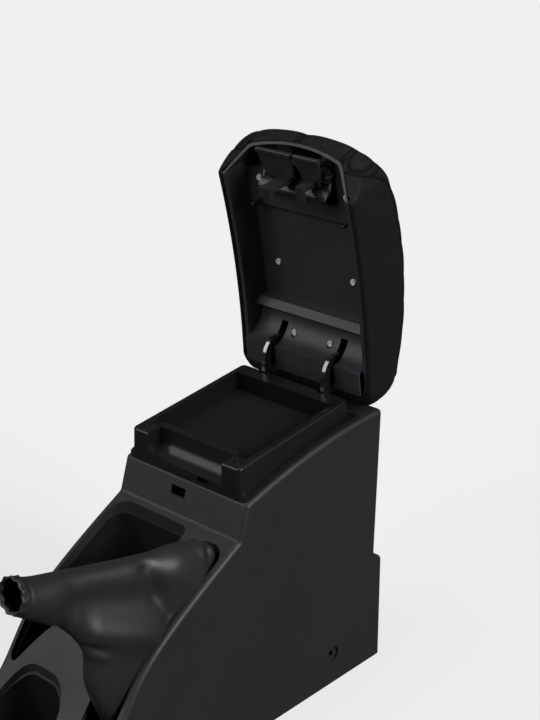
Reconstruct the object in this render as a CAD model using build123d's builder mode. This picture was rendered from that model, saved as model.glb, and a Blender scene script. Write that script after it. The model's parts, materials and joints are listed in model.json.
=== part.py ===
# Car floor console with a hinged armrest lid, a storage tray, a side pocket and a hand brake boot.
# X is across the car, Y is towards the rear, Z is up from the floor. Lengths are in millimetres.
import os
from math import cos, radians, sin, tan

from build123d import *

os.makedirs("parts", exist_ok=True)

# Console shell; Y sizes are counted from the tray's front face
tray_front = 17.0
half_width = 101.0
wall = 3.0
edge_round = 6.0
profile_round = 6.0
front_end = -325.0
front_height = 58.0
deck_foot = (-262.0, 71.0)
deck_slope = (-209.0, 110.0)
deck_brow = (-172.0, 161.0)
deck_shoulder = (-117.0, 207.0)
crease = (-12.5, 268.0)
seat_front = (0.5, 310.0)
seat_middle = (98.0, 335.5)
seat_rear = (205.0, 350.0)
rear_top = (243.0, 351.5)
rear_step_top = (236.0, 152.0)
rear_step = (251.0, 142.0)

# Openings of the shell
opening_half_width = half_width - 18.0
opening_front = 9.0
opening_rear = 206.0
window_centre = (-6.5, 293.5)
window_size = (23.4, 11.4)
side_hole = (154.0, 42.0)
side_hole_radius = 4.0
side_recess_radius = 11.0
side_recess_depth = 3.0
pocket_left = 8.0 - half_width
pocket_right = 27.0
pocket_rear = -20.0
pocket_bend = -88.0
pocket_tip = -210.0
pocket_collar_depth = 18.0
cup_left = 19.0 - half_width
cup_right = 16.0
cup_rear = -194.0
cup_front = -284.0
cup_corner = 36.0
cup_collar_depth = 14.0
slot_right = half_width - 9.0
slot_left = slot_right - 46.0
slot_rear = -25.0
slot_front = -236.0
slot_corner = 19.0
collar_wall = 2.5
gap = 0.3

# Tubs under the deck and the tray
tub_wall = 2.0
tub_overlap = 4.0
pocket_floor_rear_z = 185.0
pocket_floor_front_z = 66.0
cup_floor_z = 9.0
bin_floor_z = 70.0
bin_rear = 183.0
bin_flange = 2.2
bin_wall = 1.6
bin_flange_thickness = 1.6
bin_corner = 4.0

# Storage tray
tray_front_z = 350.0
tray_rear = 193.0
tray_slope = 7.33
tray_half_width = half_width - 13.0
tray_draft = 3.2
tray_wall = 2.6
tray_corner = 7.0
tray_edge = 3.0
cavity_half_width = tray_half_width - 10.0
cavity_front = 31.0
cavity_rear = 173.0
cavity_depth = 27.0
cavity_corner = 5.0
lobe_inner = 62.0
lobe_front = 21.3
notch_half_width = 60.5
notch_rear = 21.0
notch_floor_z = 321.5
notch_curve = 17.5
arm_notch_width = 14.0
arm_notch_front = 186.0
flange_half_width = half_width - 4.0
flange_rear = 203.0
flange_thickness = 4.5
flange_corner = 9.0
hook_slot_centre = (29.5, 317.6)
hook_slot_size = (16.7, 6.4)
mat_thickness = 3.0
mat_inset = 1.0
mat_round = 2.6
bumper_place = (tray_half_width - 13.5, 12.5)
bumper_side = 8.0
bumper_height = 3.2
bumper_recess = 1.2

# Hand brake boot
boot_left = slot_left + 2.5
boot_right = slot_right - 1.5
boot_rear = (-28.0, 252.0)
boot_front = (-206.0, 108.0)
boot_ridge = (-110.0, 286.0)
boot_fold = (-216.0, 205.0)
boot_wall = 2.0
boot_hem_drop = 5.6
boot_hem_thickness = 1.5
boot_hem_width = 4.0
frame_thickness = 4.0
frame_width = 6.0
neck_centre = (slot_left + 20.0, -308.0, 315.0)
neck_radius = 20.0
neck_rise = 12.0
neck_length = 12.0

# Lid: u runs along it from its hinge end, v runs into its depth from the rim
lid_foot = (213.0, 376.4)
lid_lean = 9.67
rim_half_width = half_width - 2.5
rim_inner_half_width = rim_half_width - 4.5
rim_front_half_width = rim_half_width - 26.5
rim_sag = 7.0
rim_corner = 16.0
latch_setback = 42.5
latch_u = lid_foot[0] - window_centre[0] + latch_setback
latch_to_front = 25.0
front_arch = 9.0
wing_length = 34.0
lid_front_u = latch_u + latch_to_front
lid_nose_u = lid_front_u + front_arch
lid_nose_v = 32.9
rim_length = lid_front_u - wing_length
liner_wall = 3.0
boss_height = 31.0
boss_front_v = -5.0
boss_back_v = 50.0
boss_back_u = 18.0
boss_foot_v = 30.0
trough_middle = (41.0, 19.0)
trough_top = (64.0, 29.5)
ridge = (69.5, 20.5)
ridge_step = (78.0, 28.0)
recess_start = 80.0
recess_v = 40.0
recess_draft = 10.0
latch_pocket = 7.0
pocket_u = latch_u - latch_pocket
shelf_length = 49.0
shelf_u = pocket_u - shelf_length
shelf_slope = 6.0
shelf_start = shelf_u - shelf_slope
shelf_v = 33.0
pocket_v = 46.0

# Lid cover and its base
pad_side = 5.0
pad_back = 9.0
pad_rear_u = -13.0
pad_foot_u = -9.0
pad_nose = 7.0
pad_front_u = lid_nose_u + pad_nose
pad_front_arch = 15.0
pad_front_corner = 46.0
pad_rear_corner = 20.0
pad_rear_v = 32.0
back_rear = (14.0, 72.0)
back_low = (95.0, 94.0)
back_high = (165.0, 98.5)
back_front = (pad_front_u - 58.0, 86.0)
nose_top = (pad_front_u - 19.0, 68.5)
nose_tip_v = 46.0
nose_low = (pad_front_u - 4.0, 35.2)
base_wall = 2.5

# Hinge
hinge_u = 6.2
hinge_v = 15.9
hinge_pin_radius = 3.0
hinge_pin_half_length = 62.0
running_gap = 0.06
bush_wall = 2.0
bush_length = 7.0
arm_x = 48.5
arm_thickness = 5.0
arm_width = 12.0
arm_front = 189.0
arm_bend_z = 378.0
arm_eye_radius = 8.5
arm_top_rise = 32.5
arm_foot_z = 292.0
arm_foot_height = 27.0
arm_foot_length = 27.0
arm_slot_width = 11.0
arm_slot_u = 52.0
arm_sweep = 41.5
arm_sweep_u = -4.6
arm_sweep_v = 30.0
cheek_wall = 4.0
bracket_half_width = 64.0
bracket_low_z = 282.0
bracket_height = 50.0
bracket_sheet = 2.5
rivet_radius = 2.5
rivet_head_radius = 4.2
rivet_head = 1.8
rivet_places = ((195.0, 299.0), (209.0, 310.0))

# Latch
latch_v = 30.0
latch_pin_radius = 2.0
barrel_radius = 4.2
paddle_u = lid_front_u + 1.0
paddle_v = 13.0
paddle_bar = 6.0
paddle_plate = 3.0
paddle_inset = 6.0
paddle_foot_u = latch_u - 8.0
paddle_foot_v = 21.0
long_paddle = (-48.0, 6.0)
long_barrel = (-36.0, 4.0)
short_paddle = (10.5, 48.5)
short_barrel = (22.0, 41.0)
long_hook = (-15.0, 2.0)
short_hook = (23.5, 35.5)
hook_u = latch_u - 8.0
hook_thickness = 6.0
long_hook_v = -25.0
long_nose_u = latch_u - 14.4
long_nose = 4.5
short_hook_v = -4.6
short_nose_u = latch_u - 22.4
short_nose = 3.8
housing_left = -52.0
housing_right = 54.0
housing_high = latch_u - 12.0
housing_low = housing_high - 20.0
housing_v = 12.0
housing_wall = 2.5
housing_cheek = 3.0
panel_half_width = 42.5
panel_thickness = 2.0
spring_wire = 0.9
spring_turns = 5

# Small parts of the lid
screw_head_radius = 4.0
screw_head_height = 2.4
screw_shank_radius = 1.6
screw_shank = 13.0
screw_cross = (5.0, 1.2, 1.4)
screw_post_radius = 5.0
hinge_screw = (29.2, 42.9, 21.5)
middle_screw = (60.0, 126.6, 40.0)
upper_screw = (68.4, 240.9, 33.0)
peg_place = (71.5, 210.5)
peg_tip_v = 16.7
peg_radius = 3.4
peg_tip_radius = 2.4


def placed(point):
    # A point of the side view, moved from the tray's front face to the console's origin
    return (point[0] + tray_front, point[1])


deck_points = [(front_end, front_height), deck_foot, deck_slope, deck_brow, deck_shoulder, crease]
seat_points = [seat_front, seat_middle, seat_rear, rear_top]


def placed_points(points, rise=0):
    # Points of the side view, moved to the console's origin and raised
    return [(y + tray_front, z + rise) for y, z in points]


def deck_curve(drop):
    # The deck's curve in the side view, lowered by a drop
    return Spline(*placed_points(deck_points, -drop))


def seat_curve(rise):
    # The curve that the tray's flange sits on, raised by a rise
    return Spline(*placed_points(seat_points, rise))


def side_outline(bottom):
    # Closed outline of the console's side view, down to a bottom height
    deck = deck_curve(0)
    seat = seat_curve(0)
    Line(deck @ 1, seat @ 0)
    rear = [placed(p) for p in (rear_top, rear_step_top, rear_step)]
    Polyline(*rear, (rear[-1][0], bottom), (front_end + tray_front, bottom), deck @ 0)


def moved_in(curve, inset, count=13):
    # Points along a curve of an outline, moved to the curve's right by an inset
    steps = [i / (count - 1) for i in range(count)]
    return [curve @ t + Vector((curve % t).Y, -(curve % t).X) * inset for t in steps]


def inner_corner(before, corner, after, inset):
    # Corner of an outline, moved so that it is an inset to the right of both of its sides
    first = Vector(before.Y, -before.X).normalized()
    second = Vector(after.Y, -after.X).normalized()
    return corner + (first + second) * (inset / (1 + first.dot(second)))


def side_hollow(bottom):
    # Closed outline of the console's inside in the side view, one wall thickness in
    front_y = front_end + tray_front + wall
    deck = Spline(*placed_points(deck_points), mode=Mode.PRIVATE)
    seat = Spline(*placed_points(seat_points), mode=Mode.PRIVATE)
    rise = seat @ 0 - deck @ 1
    corners = [Vector(*placed(p)) for p in (rear_top, rear_step_top, rear_step)]
    back = corners[1] - corners[0]
    step = corners[2] - corners[1]
    low = Vector(0, -1)
    deck_in = moved_in(deck, wall)[1:-1]
    deck_in.insert(0, inner_corner(Vector(0, 1), deck @ 0, deck % 0, wall))
    deck_in.append(inner_corner(deck % 1, deck @ 1, rise, wall))
    seat_in = moved_in(seat, wall)[1:-1]
    seat_in.insert(0, inner_corner(rise, seat @ 0, seat % 0, wall))
    seat_in.append(inner_corner(seat % 1, seat @ 1, back, wall))
    Spline(*deck_in)
    Line(deck_in[-1], seat_in[0])
    Spline(*seat_in)
    step_top = inner_corner(back, corners[1], step, wall)
    step_low = inner_corner(step, corners[2], low, wall)
    Polyline(seat_in[-1], step_top, step_low, (step_low.X, bottom), (front_y, bottom), deck_in[0])


def deck_band(top_drop, bottom_drop):
    # Strip of the side view between two lowered copies of the deck's curve
    upper = deck_curve(top_drop)
    lower = deck_curve(bottom_drop)
    Line(upper @ 0, lower @ 0)
    Line(upper @ 1, lower @ 1)


def seat_band(low, high):
    # Strip of the side view between two raised copies of the seat's curve
    lower = seat_curve(low)
    upper = seat_curve(high)
    Line(lower @ 0, upper @ 0)
    Line(lower @ 1, upper @ 1)


def cornered(left, right, front, rear, corner):
    # Rounded rectangle in plan, between two X and two Y limits
    with BuildSketch(mode=Mode.PRIVATE) as plan:
        with Locations(((left + right) / 2, (front + rear) / 2 + tray_front)):
            RectangleRounded(right - left, rear - front, corner)
    return plan.sketch


def pocket_plan(inset):
    # Plan of the side pocket, which narrows to a tip at the front left
    corners = [
        (pocket_left, pocket_tip),
        (pocket_left, pocket_rear),
        (pocket_right, pocket_rear),
        (pocket_right, pocket_bend),
    ]
    with BuildSketch(mode=Mode.PRIVATE) as plan:
        with BuildLine():
            Polyline(*[(x, y + tray_front) for x, y in corners], close=True)
        make_face()
        fillet(plan.vertices().sort_by(Axis.Y)[0], 7)
        fillet(plan.vertices().sort_by(Axis.Y)[-2:].sort_by(Axis.X)[0], 24)
        fillet(plan.vertices().sort_by(Axis.X)[-2:].sort_by(Axis.Y)[-1], 12)
        fillet(plan.vertices().sort_by(Axis.X)[-2:].sort_by(Axis.Y)[0], 14)
        if inset:
            offset(amount=-inset, mode=Mode.REPLACE)
    return plan.sketch


def cup_plan(inset):
    return cornered(cup_left + inset, cup_right - inset, cup_front + inset, cup_rear - inset, cup_corner - inset)


def bin_plan(inset):
    half = opening_half_width - inset
    return cornered(-half, half, opening_front + inset, bin_rear - inset, bin_corner)


lean = radians(lid_lean)
lid_origin = Vector(0, lid_foot[0] + tray_front, lid_foot[1])
lid_u = Vector(0, -sin(lean), cos(lean))
lid_v = Vector(0, cos(lean), sin(lean))
lid_plane = Plane(origin=lid_origin, x_dir=(1, 0, 0), z_dir=-lid_v)
lid_side = Plane(origin=lid_origin, x_dir=lid_u, z_dir=(-1, 0, 0))
hinge_y = (lid_origin + lid_u * hinge_u + lid_v * hinge_v).Y - tray_front
hinge_z = (lid_origin + lid_u * hinge_u + lid_v * hinge_v).Z
tray_tilt = radians(tray_slope)
tray_normal = Vector(0, -sin(tray_tilt), cos(tray_tilt))
tray_plane = Plane(origin=(0, tray_front, tray_front_z), x_dir=(1, 0, 0), z_dir=tray_normal)
tray_up = Axis(tray_plane.origin, tray_plane.z_dir)


def lid_section(x):
    # Side-view plane of the lid at a place across it; a sketch on it is extruded towards -X
    return lid_side.offset(-x)


def lid_level(v):
    # Plan plane of the lid at a depth; a sketch on it is extruded deeper by a negative amount
    return lid_plane.offset(-v)


def rim_plan(margin):
    # Plan of the lid's liner, narrower at the front, where its edge is an arch
    half = rim_half_width - margin
    front_half = rim_front_half_width - margin
    front_u = lid_front_u - margin
    with BuildSketch(mode=Mode.PRIVATE) as plan:
        with BuildLine():
            left = Polyline((-half, margin), (-half, rim_length), (-front_half, front_u))
            right = Polyline((front_half, front_u), (half, rim_length), (half, margin))
            ThreePointArc(left @ 1, (0, lid_nose_u - margin), right @ 0)
            Line(left @ 0, right @ 1)
        make_face()
        fillet(plan.vertices().group_by(Axis.Y)[-1], rim_corner)
        fillet(plan.vertices().group_by(Axis.Y)[0], rim_corner / 2)
    return plan.sketch


def pad_plan(margin):
    # Plan of the lid's cover, rounded more at its front corners
    half = rim_half_width + base_wall + pad_side + 2 * gap - margin
    with BuildSketch(mode=Mode.PRIVATE) as plan:
        with BuildLine():
            corner_u = pad_front_u - pad_front_arch - margin
            front = ThreePointArc((half, corner_u), (0, pad_front_u - margin), (-half, corner_u))
            Polyline(front @ 1, (-half, pad_rear_u + margin), (half, pad_rear_u + margin), front @ 0)
        make_face()
        fillet(plan.vertices().group_by(Axis.Y)[-1], pad_front_corner - margin)
        fillet(plan.vertices().group_by(Axis.Y)[0], pad_rear_corner - margin)
    return plan.sketch


def pad_profile(margin):
    # Side view of the lid's cover: arched back, rounded nose, sloping front edge and curved rim
    rear_point = (pad_rear_u, pad_rear_v)
    with BuildSketch(mode=Mode.PRIVATE) as profile:
        with BuildLine():
            rim = ThreePointArc((pad_foot_u, 0), (rim_length / 2, rim_sag), (rim_length, 0), mode=Mode.PRIVATE)
            slope = Vector(*nose_low) - rim @ 1
            nose_points = [nose_low, (pad_front_u, nose_tip_v), nose_top]
            nose = Spline(*nose_points, tangents=[slope, (-0.92, 0.4)], mode=Mode.PRIVATE)
            back = Spline(nose_top, back_front, back_high, back_low, back_rear, rear_point, mode=Mode.PRIVATE)
            foot = rim @ 0 - back @ 1
            rim_start = inner_corner(foot, rim @ 0, rim % 0, -margin)
            rim_end = inner_corner(rim % 1, rim @ 1, slope, -margin)
            nose_in = moved_in(nose, -margin)
            back_in = [nose_in[-1]] + moved_in(back, -margin)[1:-1]
            back_in.append(inner_corner(back % 1, back @ 1, foot, -margin))
            ThreePointArc(rim_start, rim @ 0.5 + Vector(0, margin), rim_end)
            Line(rim_end, nose_in[0])
            Spline(*nose_in)
            Spline(*back_in)
            Line(back_in[-1], rim_start)
        make_face()
    return profile.sketch


# Rings turned down from the deck round the pocket and the cup holder
with BuildPart() as pocket_collar:
    with BuildSketch():
        add(pocket_plan(-collar_wall))
        add(pocket_plan(0), mode=Mode.SUBTRACT)
    extrude(amount=tray_front_z)
    with BuildSketch(Plane.YZ):
        with BuildLine():
            deck_band(wall / 2, pocket_collar_depth)
        make_face()
    extrude(amount=half_width, both=True, mode=Mode.INTERSECT)

with BuildPart() as cup_collar:
    with BuildSketch():
        add(cup_plan(-collar_wall))
        add(cup_plan(0), mode=Mode.SUBTRACT)
    extrude(amount=tray_front_z)
    with BuildSketch(Plane.YZ):
        with BuildLine():
            deck_band(wall / 2, cup_collar_depth)
        make_face()
    extrude(amount=half_width, both=True, mode=Mode.INTERSECT)

# Console shell, open below
with BuildPart() as console_body:
    with BuildSketch(Plane.YZ) as outer_side:
        with BuildLine():
            side_outline(0)
        make_face()
        fillet([v for v in outer_side.vertices() if v.Y > 1], profile_round)
    extrude(amount=half_width, both=True)
    side_edges = [e for e in console_body.edges() if abs(e.center().X) > half_width - 0.1 and e.center().Z > 1]
    fillet(side_edges, edge_round)
    with BuildSketch(Plane.YZ):
        with BuildLine():
            side_hollow(-wall)
        make_face()
    extrude(amount=half_width - wall, both=True, mode=Mode.SUBTRACT)
    with BuildSketch(Plane.XY.offset(crease[1])):
        add(cornered(-opening_half_width, opening_half_width, opening_front, opening_rear, bin_corner))
    extrude(amount=tray_front_z, mode=Mode.SUBTRACT)
    with BuildSketch(Plane.XZ.offset(-tray_front - seat_front[0])):
        with Locations(window_centre):
            Rectangle(*window_size)
    extrude(amount=-2 * crease[0], mode=Mode.SUBTRACT)
    with BuildSketch():
        add(pocket_plan(0))
        add(cup_plan(0))
        add(cornered(slot_left, slot_right, slot_front, slot_rear, slot_corner))
    extrude(amount=tray_front_z, mode=Mode.SUBTRACT)
    add(pocket_collar.part)
    add(cup_collar.part)
    for side in (1, -1):
        inner_x = side * (half_width - wall)
        inner_face = Plane(origin=(inner_x, side_hole[0] + tray_front, side_hole[1]), z_dir=(side, 0, 0))
        with BuildSketch(inner_face):
            Circle(side_recess_radius + wall)
        extrude(amount=-side_recess_depth)
        with BuildSketch(inner_face):
            Circle(side_recess_radius)
        extrude(amount=wall, mode=Mode.SUBTRACT)
        with BuildSketch(inner_face):
            Circle(side_hole_radius)
        extrude(amount=-side_recess_depth, mode=Mode.SUBTRACT)
console_body.part.label = "console_body"
export_step(console_body.part, "parts/console_body.step")

# Side pocket's tub, hung inside its collar
with BuildPart() as pocket_hollow:
    with BuildSketch():
        add(pocket_plan(gap + tub_wall))
    extrude(amount=tray_front_z)
    with BuildSketch(Plane.YZ):
        with BuildLine():
            rear_end = (pocket_rear + tray_front, pocket_floor_rear_z + tub_wall)
            front_low = (pocket_tip + tray_front, pocket_floor_front_z + tub_wall)
            Polyline(front_low, rear_end, (rear_end[0], tray_front_z), (front_low[0], tray_front_z), close=True)
        make_face()
    extrude(amount=half_width, both=True, mode=Mode.INTERSECT)

with BuildPart() as pocket_liner:
    with BuildSketch():
        add(pocket_plan(gap))
    extrude(amount=tray_front_z)
    with BuildSketch(Plane.YZ):
        with BuildLine():
            top = deck_curve(pocket_collar_depth - tub_overlap)
            rear_low = ((top @ 1).X, pocket_floor_rear_z)
            front_low = (pocket_tip + tray_front - wall, pocket_floor_front_z - wall)
            Polyline(top @ 1, rear_low, front_low, ((top @ 0).X, 0), top @ 0)
        make_face()
    extrude(amount=half_width, both=True, mode=Mode.INTERSECT)
    add(pocket_hollow.part, mode=Mode.SUBTRACT)
pocket_liner.part.label = "pocket_liner"
export_step(pocket_liner.part, "parts/pocket_liner.step")

# Cup holder's tub
with BuildPart() as cup_holder:
    with BuildSketch(Plane.XY.offset(cup_floor_z)):
        add(cup_plan(gap))
    extrude(amount=tray_front_z)
    with BuildSketch(Plane.YZ):
        with BuildLine():
            top = deck_curve(cup_collar_depth - tub_overlap)
            Polyline(top @ 1, ((top @ 1).X, cup_floor_z), ((top @ 0).X, cup_floor_z), top @ 0)
        make_face()
    extrude(amount=half_width, both=True, mode=Mode.INTERSECT)
    with BuildSketch(Plane.XY.offset(cup_floor_z + tub_wall)):
        add(cup_plan(gap + tub_wall))
    extrude(amount=tray_front_z, mode=Mode.SUBTRACT)
cup_holder.part.label = "cup_holder"
export_step(cup_holder.part, "parts/cup_holder.step")

# Deep bin under the tray, hung by its lip on the console's seat
with BuildPart() as bin_lip:
    with BuildSketch(Plane.XY.offset(crease[1])):
        lip_half = opening_half_width + bin_flange
        add(cornered(-lip_half, lip_half, opening_front - bin_flange, bin_rear - gap, bin_corner))
        add(bin_plan(gap + bin_wall / 2), mode=Mode.SUBTRACT)
    extrude(amount=tray_front_z)
    with BuildSketch(Plane.YZ):
        with BuildLine():
            seat_band(gap, gap + bin_flange_thickness)
        make_face()
    extrude(amount=half_width, both=True, mode=Mode.INTERSECT)

with BuildPart() as storage_bin:
    with BuildSketch(Plane.XY.offset(bin_floor_z)):
        add(bin_plan(gap))
    extrude(amount=tray_front_z)
    with BuildSketch(Plane.YZ):
        with BuildLine():
            top = seat_curve(gap + bin_flange_thickness)
            Polyline(top @ 1, ((top @ 1).X, bin_floor_z), ((top @ 0).X, bin_floor_z), top @ 0)
        make_face()
    extrude(amount=half_width, both=True, mode=Mode.INTERSECT)
    with BuildSketch(Plane.XY.offset(bin_floor_z + bin_wall)):
        add(bin_plan(gap + bin_wall))
    extrude(amount=tray_front_z, mode=Mode.SUBTRACT)
    add(bin_lip.part)
storage_bin.part.label = "storage_bin"
export_step(storage_bin.part, "parts/storage_bin.step")

# Storage tray: a sloping top over tapering walls, with a cavity, a finger notch and a flange along its sides
with BuildPart() as tray_cavity:
    with BuildSketch(tray_plane) as cavity_plan:
        with Locations((0, (cavity_front + cavity_rear) / 2)):
            Rectangle(2 * cavity_half_width, cavity_rear - cavity_front)
        for side in (1, -1):
            with Locations((side * (lobe_inner + cavity_half_width) / 2, (lobe_front + cavity_rear) / 2)):
                Rectangle(cavity_half_width - lobe_inner, cavity_rear - lobe_front)
        fillet(cavity_plan.vertices(), cavity_corner / 2)
    extrude(amount=-cavity_depth)
    fillet(tray_cavity.faces().sort_by(tray_up)[0].edges(), cavity_corner / 2)
    with BuildSketch(tray_plane):
        with Locations((0, (lobe_front + cavity_rear) / 2)):
            Rectangle(2 * cavity_half_width - 2 * cavity_corner, cavity_rear - lobe_front - 2 * cavity_corner)
    extrude(amount=cavity_corner)

tray_top_rear_z = tray_front_z + tray_rear * tan(tray_tilt)


def tray_side(inset, low_z):
    # Tray's side view down to a low height, with its walls moved inwards by an inset
    top_front = (inset, tray_front_z - inset)
    top_rear = (tray_rear - inset, tray_top_rear_z - inset)
    low_rear = (seat_rear[0] - inset, low_z)
    low_front = (seat_front[0] + inset, low_z)
    Polyline(*[placed(p) for p in (top_front, top_rear, low_rear, low_front)], close=True)


def tray_face(inset, low_z):
    # Tray's front view, wider at its foot
    top_z = tray_top_rear_z + wall
    top_half = tray_half_width - inset - (top_z - tray_front_z) * tan(radians(tray_draft))
    low_half = tray_half_width - inset + (tray_front_z - low_z) * tan(radians(tray_draft))
    Polyline((-low_half, low_z), (low_half, low_z), (top_half, top_z), (-top_half, top_z), close=True)


with BuildPart() as tray_hollow:
    with BuildSketch(Plane.YZ):
        with BuildLine():
            tray_side(tray_wall, crease[1])
        make_face()
    extrude(amount=half_width, both=True)
    with BuildSketch(Plane.XZ.offset(wall - tray_front)):
        with BuildLine():
            tray_face(tray_wall, crease[1])
        make_face()
    extrude(amount=-rear_top[0], mode=Mode.INTERSECT)
    with BuildSketch(tray_plane.offset(tray_wall)) as tub_plan:
        with Locations((0, (lobe_front + cavity_rear) / 2)):
            Rectangle(2 * cavity_half_width + 2 * tray_wall, cavity_rear - lobe_front + 2 * tray_wall)
    extrude(amount=-cavity_depth - 2 * tray_wall, mode=Mode.SUBTRACT)
    with BuildSketch(Plane.YZ):
        with BuildLine():
            low_z = notch_floor_z - tray_wall
            back_y = notch_rear + tray_wall
            corners = ((-wall, low_z), (back_y, low_z), (back_y, tray_top_rear_z), (-wall, tray_top_rear_z))
            Polyline(*[placed(p) for p in corners], close=True)
        make_face()
    extrude(amount=notch_half_width + tray_wall, both=True, mode=Mode.SUBTRACT)
    for side in (1, -1):
        with BuildSketch(Plane.XY.offset(crease[1])):
            with Locations((side * arm_x, arm_notch_front + tray_front)):
                Rectangle(arm_notch_width + 2 * tray_wall, 2 * tray_wall)
            with Locations((side * arm_x, rear_top[0] + tray_front)):
                Rectangle(arm_notch_width + 2 * tray_wall, 2 * (rear_top[0] - arm_notch_front))
        extrude(amount=tray_front_z, mode=Mode.SUBTRACT)

with BuildPart() as tray_flange:
    with BuildSketch(Plane.XY.offset(crease[1])):
        add(cornered(-flange_half_width, flange_half_width, 0, flange_rear, flange_corner))
        add(cornered(2 - tray_half_width, tray_half_width - 2, 2, flange_rear + tray_corner, tray_corner / 2), mode=Mode.SUBTRACT)
    extrude(amount=tray_front_z)
    with BuildSketch(Plane.YZ):
        with BuildLine():
            seat_band(gap, gap + flange_thickness)
        make_face()
    extrude(amount=half_width, both=True, mode=Mode.INTERSECT)

with BuildPart() as storage_tray:
    with BuildSketch(Plane.YZ):
        with BuildLine():
            tray_side(0, crease[1])
        make_face()
    extrude(amount=half_width, both=True)
    with BuildSketch(Plane.XZ.offset(wall - tray_front)):
        with BuildLine():
            tray_face(0, crease[1])
        make_face()
    extrude(amount=-rear_top[0], mode=Mode.INTERSECT)
    upright = [e for e in storage_tray.edges() if e.bounding_box().size.Z > 50 and e.bounding_box().size.X < 20]
    fillet(upright, tray_corner)
    fillet(storage_tray.faces().sort_by(tray_up)[-1].edges(), tray_edge)
    with BuildSketch(Plane.YZ):
        with BuildLine():
            foot = seat_curve(gap)
            Polyline(foot @ 1, ((foot @ 1).X, 0), ((foot @ 0).X - wall, 0), ((foot @ 0).X - wall, (foot @ 0).Y), foot @ 0)
        make_face()
    extrude(amount=half_width, both=True, mode=Mode.SUBTRACT)
    add(tray_hollow.part, mode=Mode.SUBTRACT)
    add(tray_cavity.part, mode=Mode.SUBTRACT)
    with BuildSketch(Plane.YZ):
        with BuildLine():
            curve_y = notch_rear - notch_curve
            curve_z = notch_floor_z + notch_curve
            turn = notch_curve * sin(radians(45))
            ends = [placed(p) for p in ((curve_y, notch_floor_z), (curve_y + turn, curve_z - turn), (notch_rear, curve_z))]
            ThreePointArc(*ends)
            rest = ((notch_rear, curve_z), (notch_rear, tray_top_rear_z), (-wall, tray_top_rear_z), (-wall, notch_floor_z))
            Polyline(*[placed(p) for p in rest + ((curve_y, notch_floor_z),)])
        make_face()
    extrude(amount=notch_half_width, both=True, mode=Mode.SUBTRACT)
    for side in (1, -1):
        with BuildSketch(Plane.XY.offset(crease[1])):
            with Locations((side * arm_x, rear_top[0] + tray_front)):
                Rectangle(arm_notch_width, 2 * (rear_top[0] - arm_notch_front))
        extrude(amount=tray_front_z, mode=Mode.SUBTRACT)
        with BuildSketch(tray_plane):
            with Locations((side * bumper_place[0], bumper_place[1])):
                Rectangle(bumper_side, bumper_side, rotation=45)
        extrude(amount=-bumper_recess, mode=Mode.SUBTRACT)
    with BuildSketch(Plane.XZ.offset(wall - tray_front)):
        with Locations(hook_slot_centre):
            Rectangle(*hook_slot_size)
    extrude(amount=-4 * wall, mode=Mode.SUBTRACT)
    add(tray_flange.part)
storage_tray.part.label = "storage_tray"
export_step(storage_tray.part, "parts/storage_tray.step")

# Felt mat on the floor of the tray's cavity
with BuildPart() as tray_mat:
    with BuildSketch(tray_plane.offset(-cavity_depth)) as mat_plan:
        with Locations((0, (cavity_front + cavity_rear) / 2)):
            Rectangle(2 * (cavity_half_width - mat_inset), cavity_rear - cavity_front - 2 * mat_inset)
        fillet(mat_plan.vertices(), cavity_corner)
    extrude(amount=mat_thickness)
    fillet(tray_mat.faces().sort_by(tray_up)[0].edges(), mat_round)
tray_mat.part.label = "tray_mat"
export_step(tray_mat.part, "parts/tray_mat.step")

# Two pyramid bumpers let into the tray's front corners
with BuildPart() as tray_bumpers:
    for side in (1, -1):
        with BuildSketch(tray_plane.offset(-bumper_recess)):
            with Locations((side * bumper_place[0], bumper_place[1])):
                Rectangle(bumper_side, bumper_side, rotation=45)
        extrude(amount=bumper_recess + bumper_height, taper=35)
tray_bumpers.part.label = "tray_bumpers"
export_step(tray_bumpers.part, "parts/tray_bumpers.step")

# Clamp frame of the boot, which follows the deck from below
with BuildPart() as boot_frame:
    with BuildSketch():
        rear_y = slot_rear + frame_width
        front_y = slot_front - frame_width
        add(cornered(slot_left - frame_width, slot_right + frame_width - 1, front_y, rear_y, slot_corner + 4))
        add(cornered(slot_left - 1, slot_right + 1, slot_front - 1, slot_rear + 1, slot_corner), mode=Mode.SUBTRACT)
    extrude(amount=tray_front_z)
    with BuildSketch(Plane.YZ):
        with BuildLine():
            frame_drop = boot_hem_drop + boot_hem_thickness + gap
            deck_band(frame_drop, frame_drop + frame_thickness)
        make_face()
    extrude(amount=half_width, both=True, mode=Mode.INTERSECT)
boot_frame.part.label = "boot_frame"
export_step(boot_frame.part, "parts/boot_frame.step")

# Hand brake boot: a soft sleeve from the deck's slot to an open neck, with a hem under the deck


def boot_ring(low, high, width, corner):
    # Plane across the boot between a front and a rear point, and the size of its ring there
    low_point = Vector((boot_left + boot_right) / 2, low[0] + tray_front, low[1])
    high_point = Vector((boot_left + boot_right) / 2, high[0] + tray_front, high[1])
    along = high_point - low_point
    plane = Plane(origin=(low_point + high_point) / 2, x_dir=(1, 0, 0), z_dir=Vector(1, 0, 0).cross(along))
    return plane, width, along.length, corner


neck_tilt = radians(neck_rise)
neck_plane = Plane(
    origin=(neck_centre[0], neck_centre[1] + tray_front, neck_centre[2]),
    x_dir=(1, 0, 0),
    z_dir=(0, -cos(neck_tilt), sin(neck_tilt)),
)
boot_rings = [
    boot_ring(boot_front, boot_rear, boot_right - boot_left, slot_corner),
    boot_ring(boot_fold, boot_ridge, boot_right - boot_left, slot_corner),
    (neck_plane, 2 * neck_radius, 2 * neck_radius, neck_radius - 1),
]

with BuildPart() as boot_inside:
    for plane, width, length, corner in boot_rings:
        with BuildSketch(plane):
            RectangleRounded(width - 2 * boot_wall, length - 2 * boot_wall, corner - boot_wall)
    loft()
    extrude(boot_inside.faces().sort_by(Axis.Y)[0], amount=2 * neck_length)
    extrude(boot_inside.faces().sort_by(Axis.Z)[0], amount=neck_length)

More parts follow.
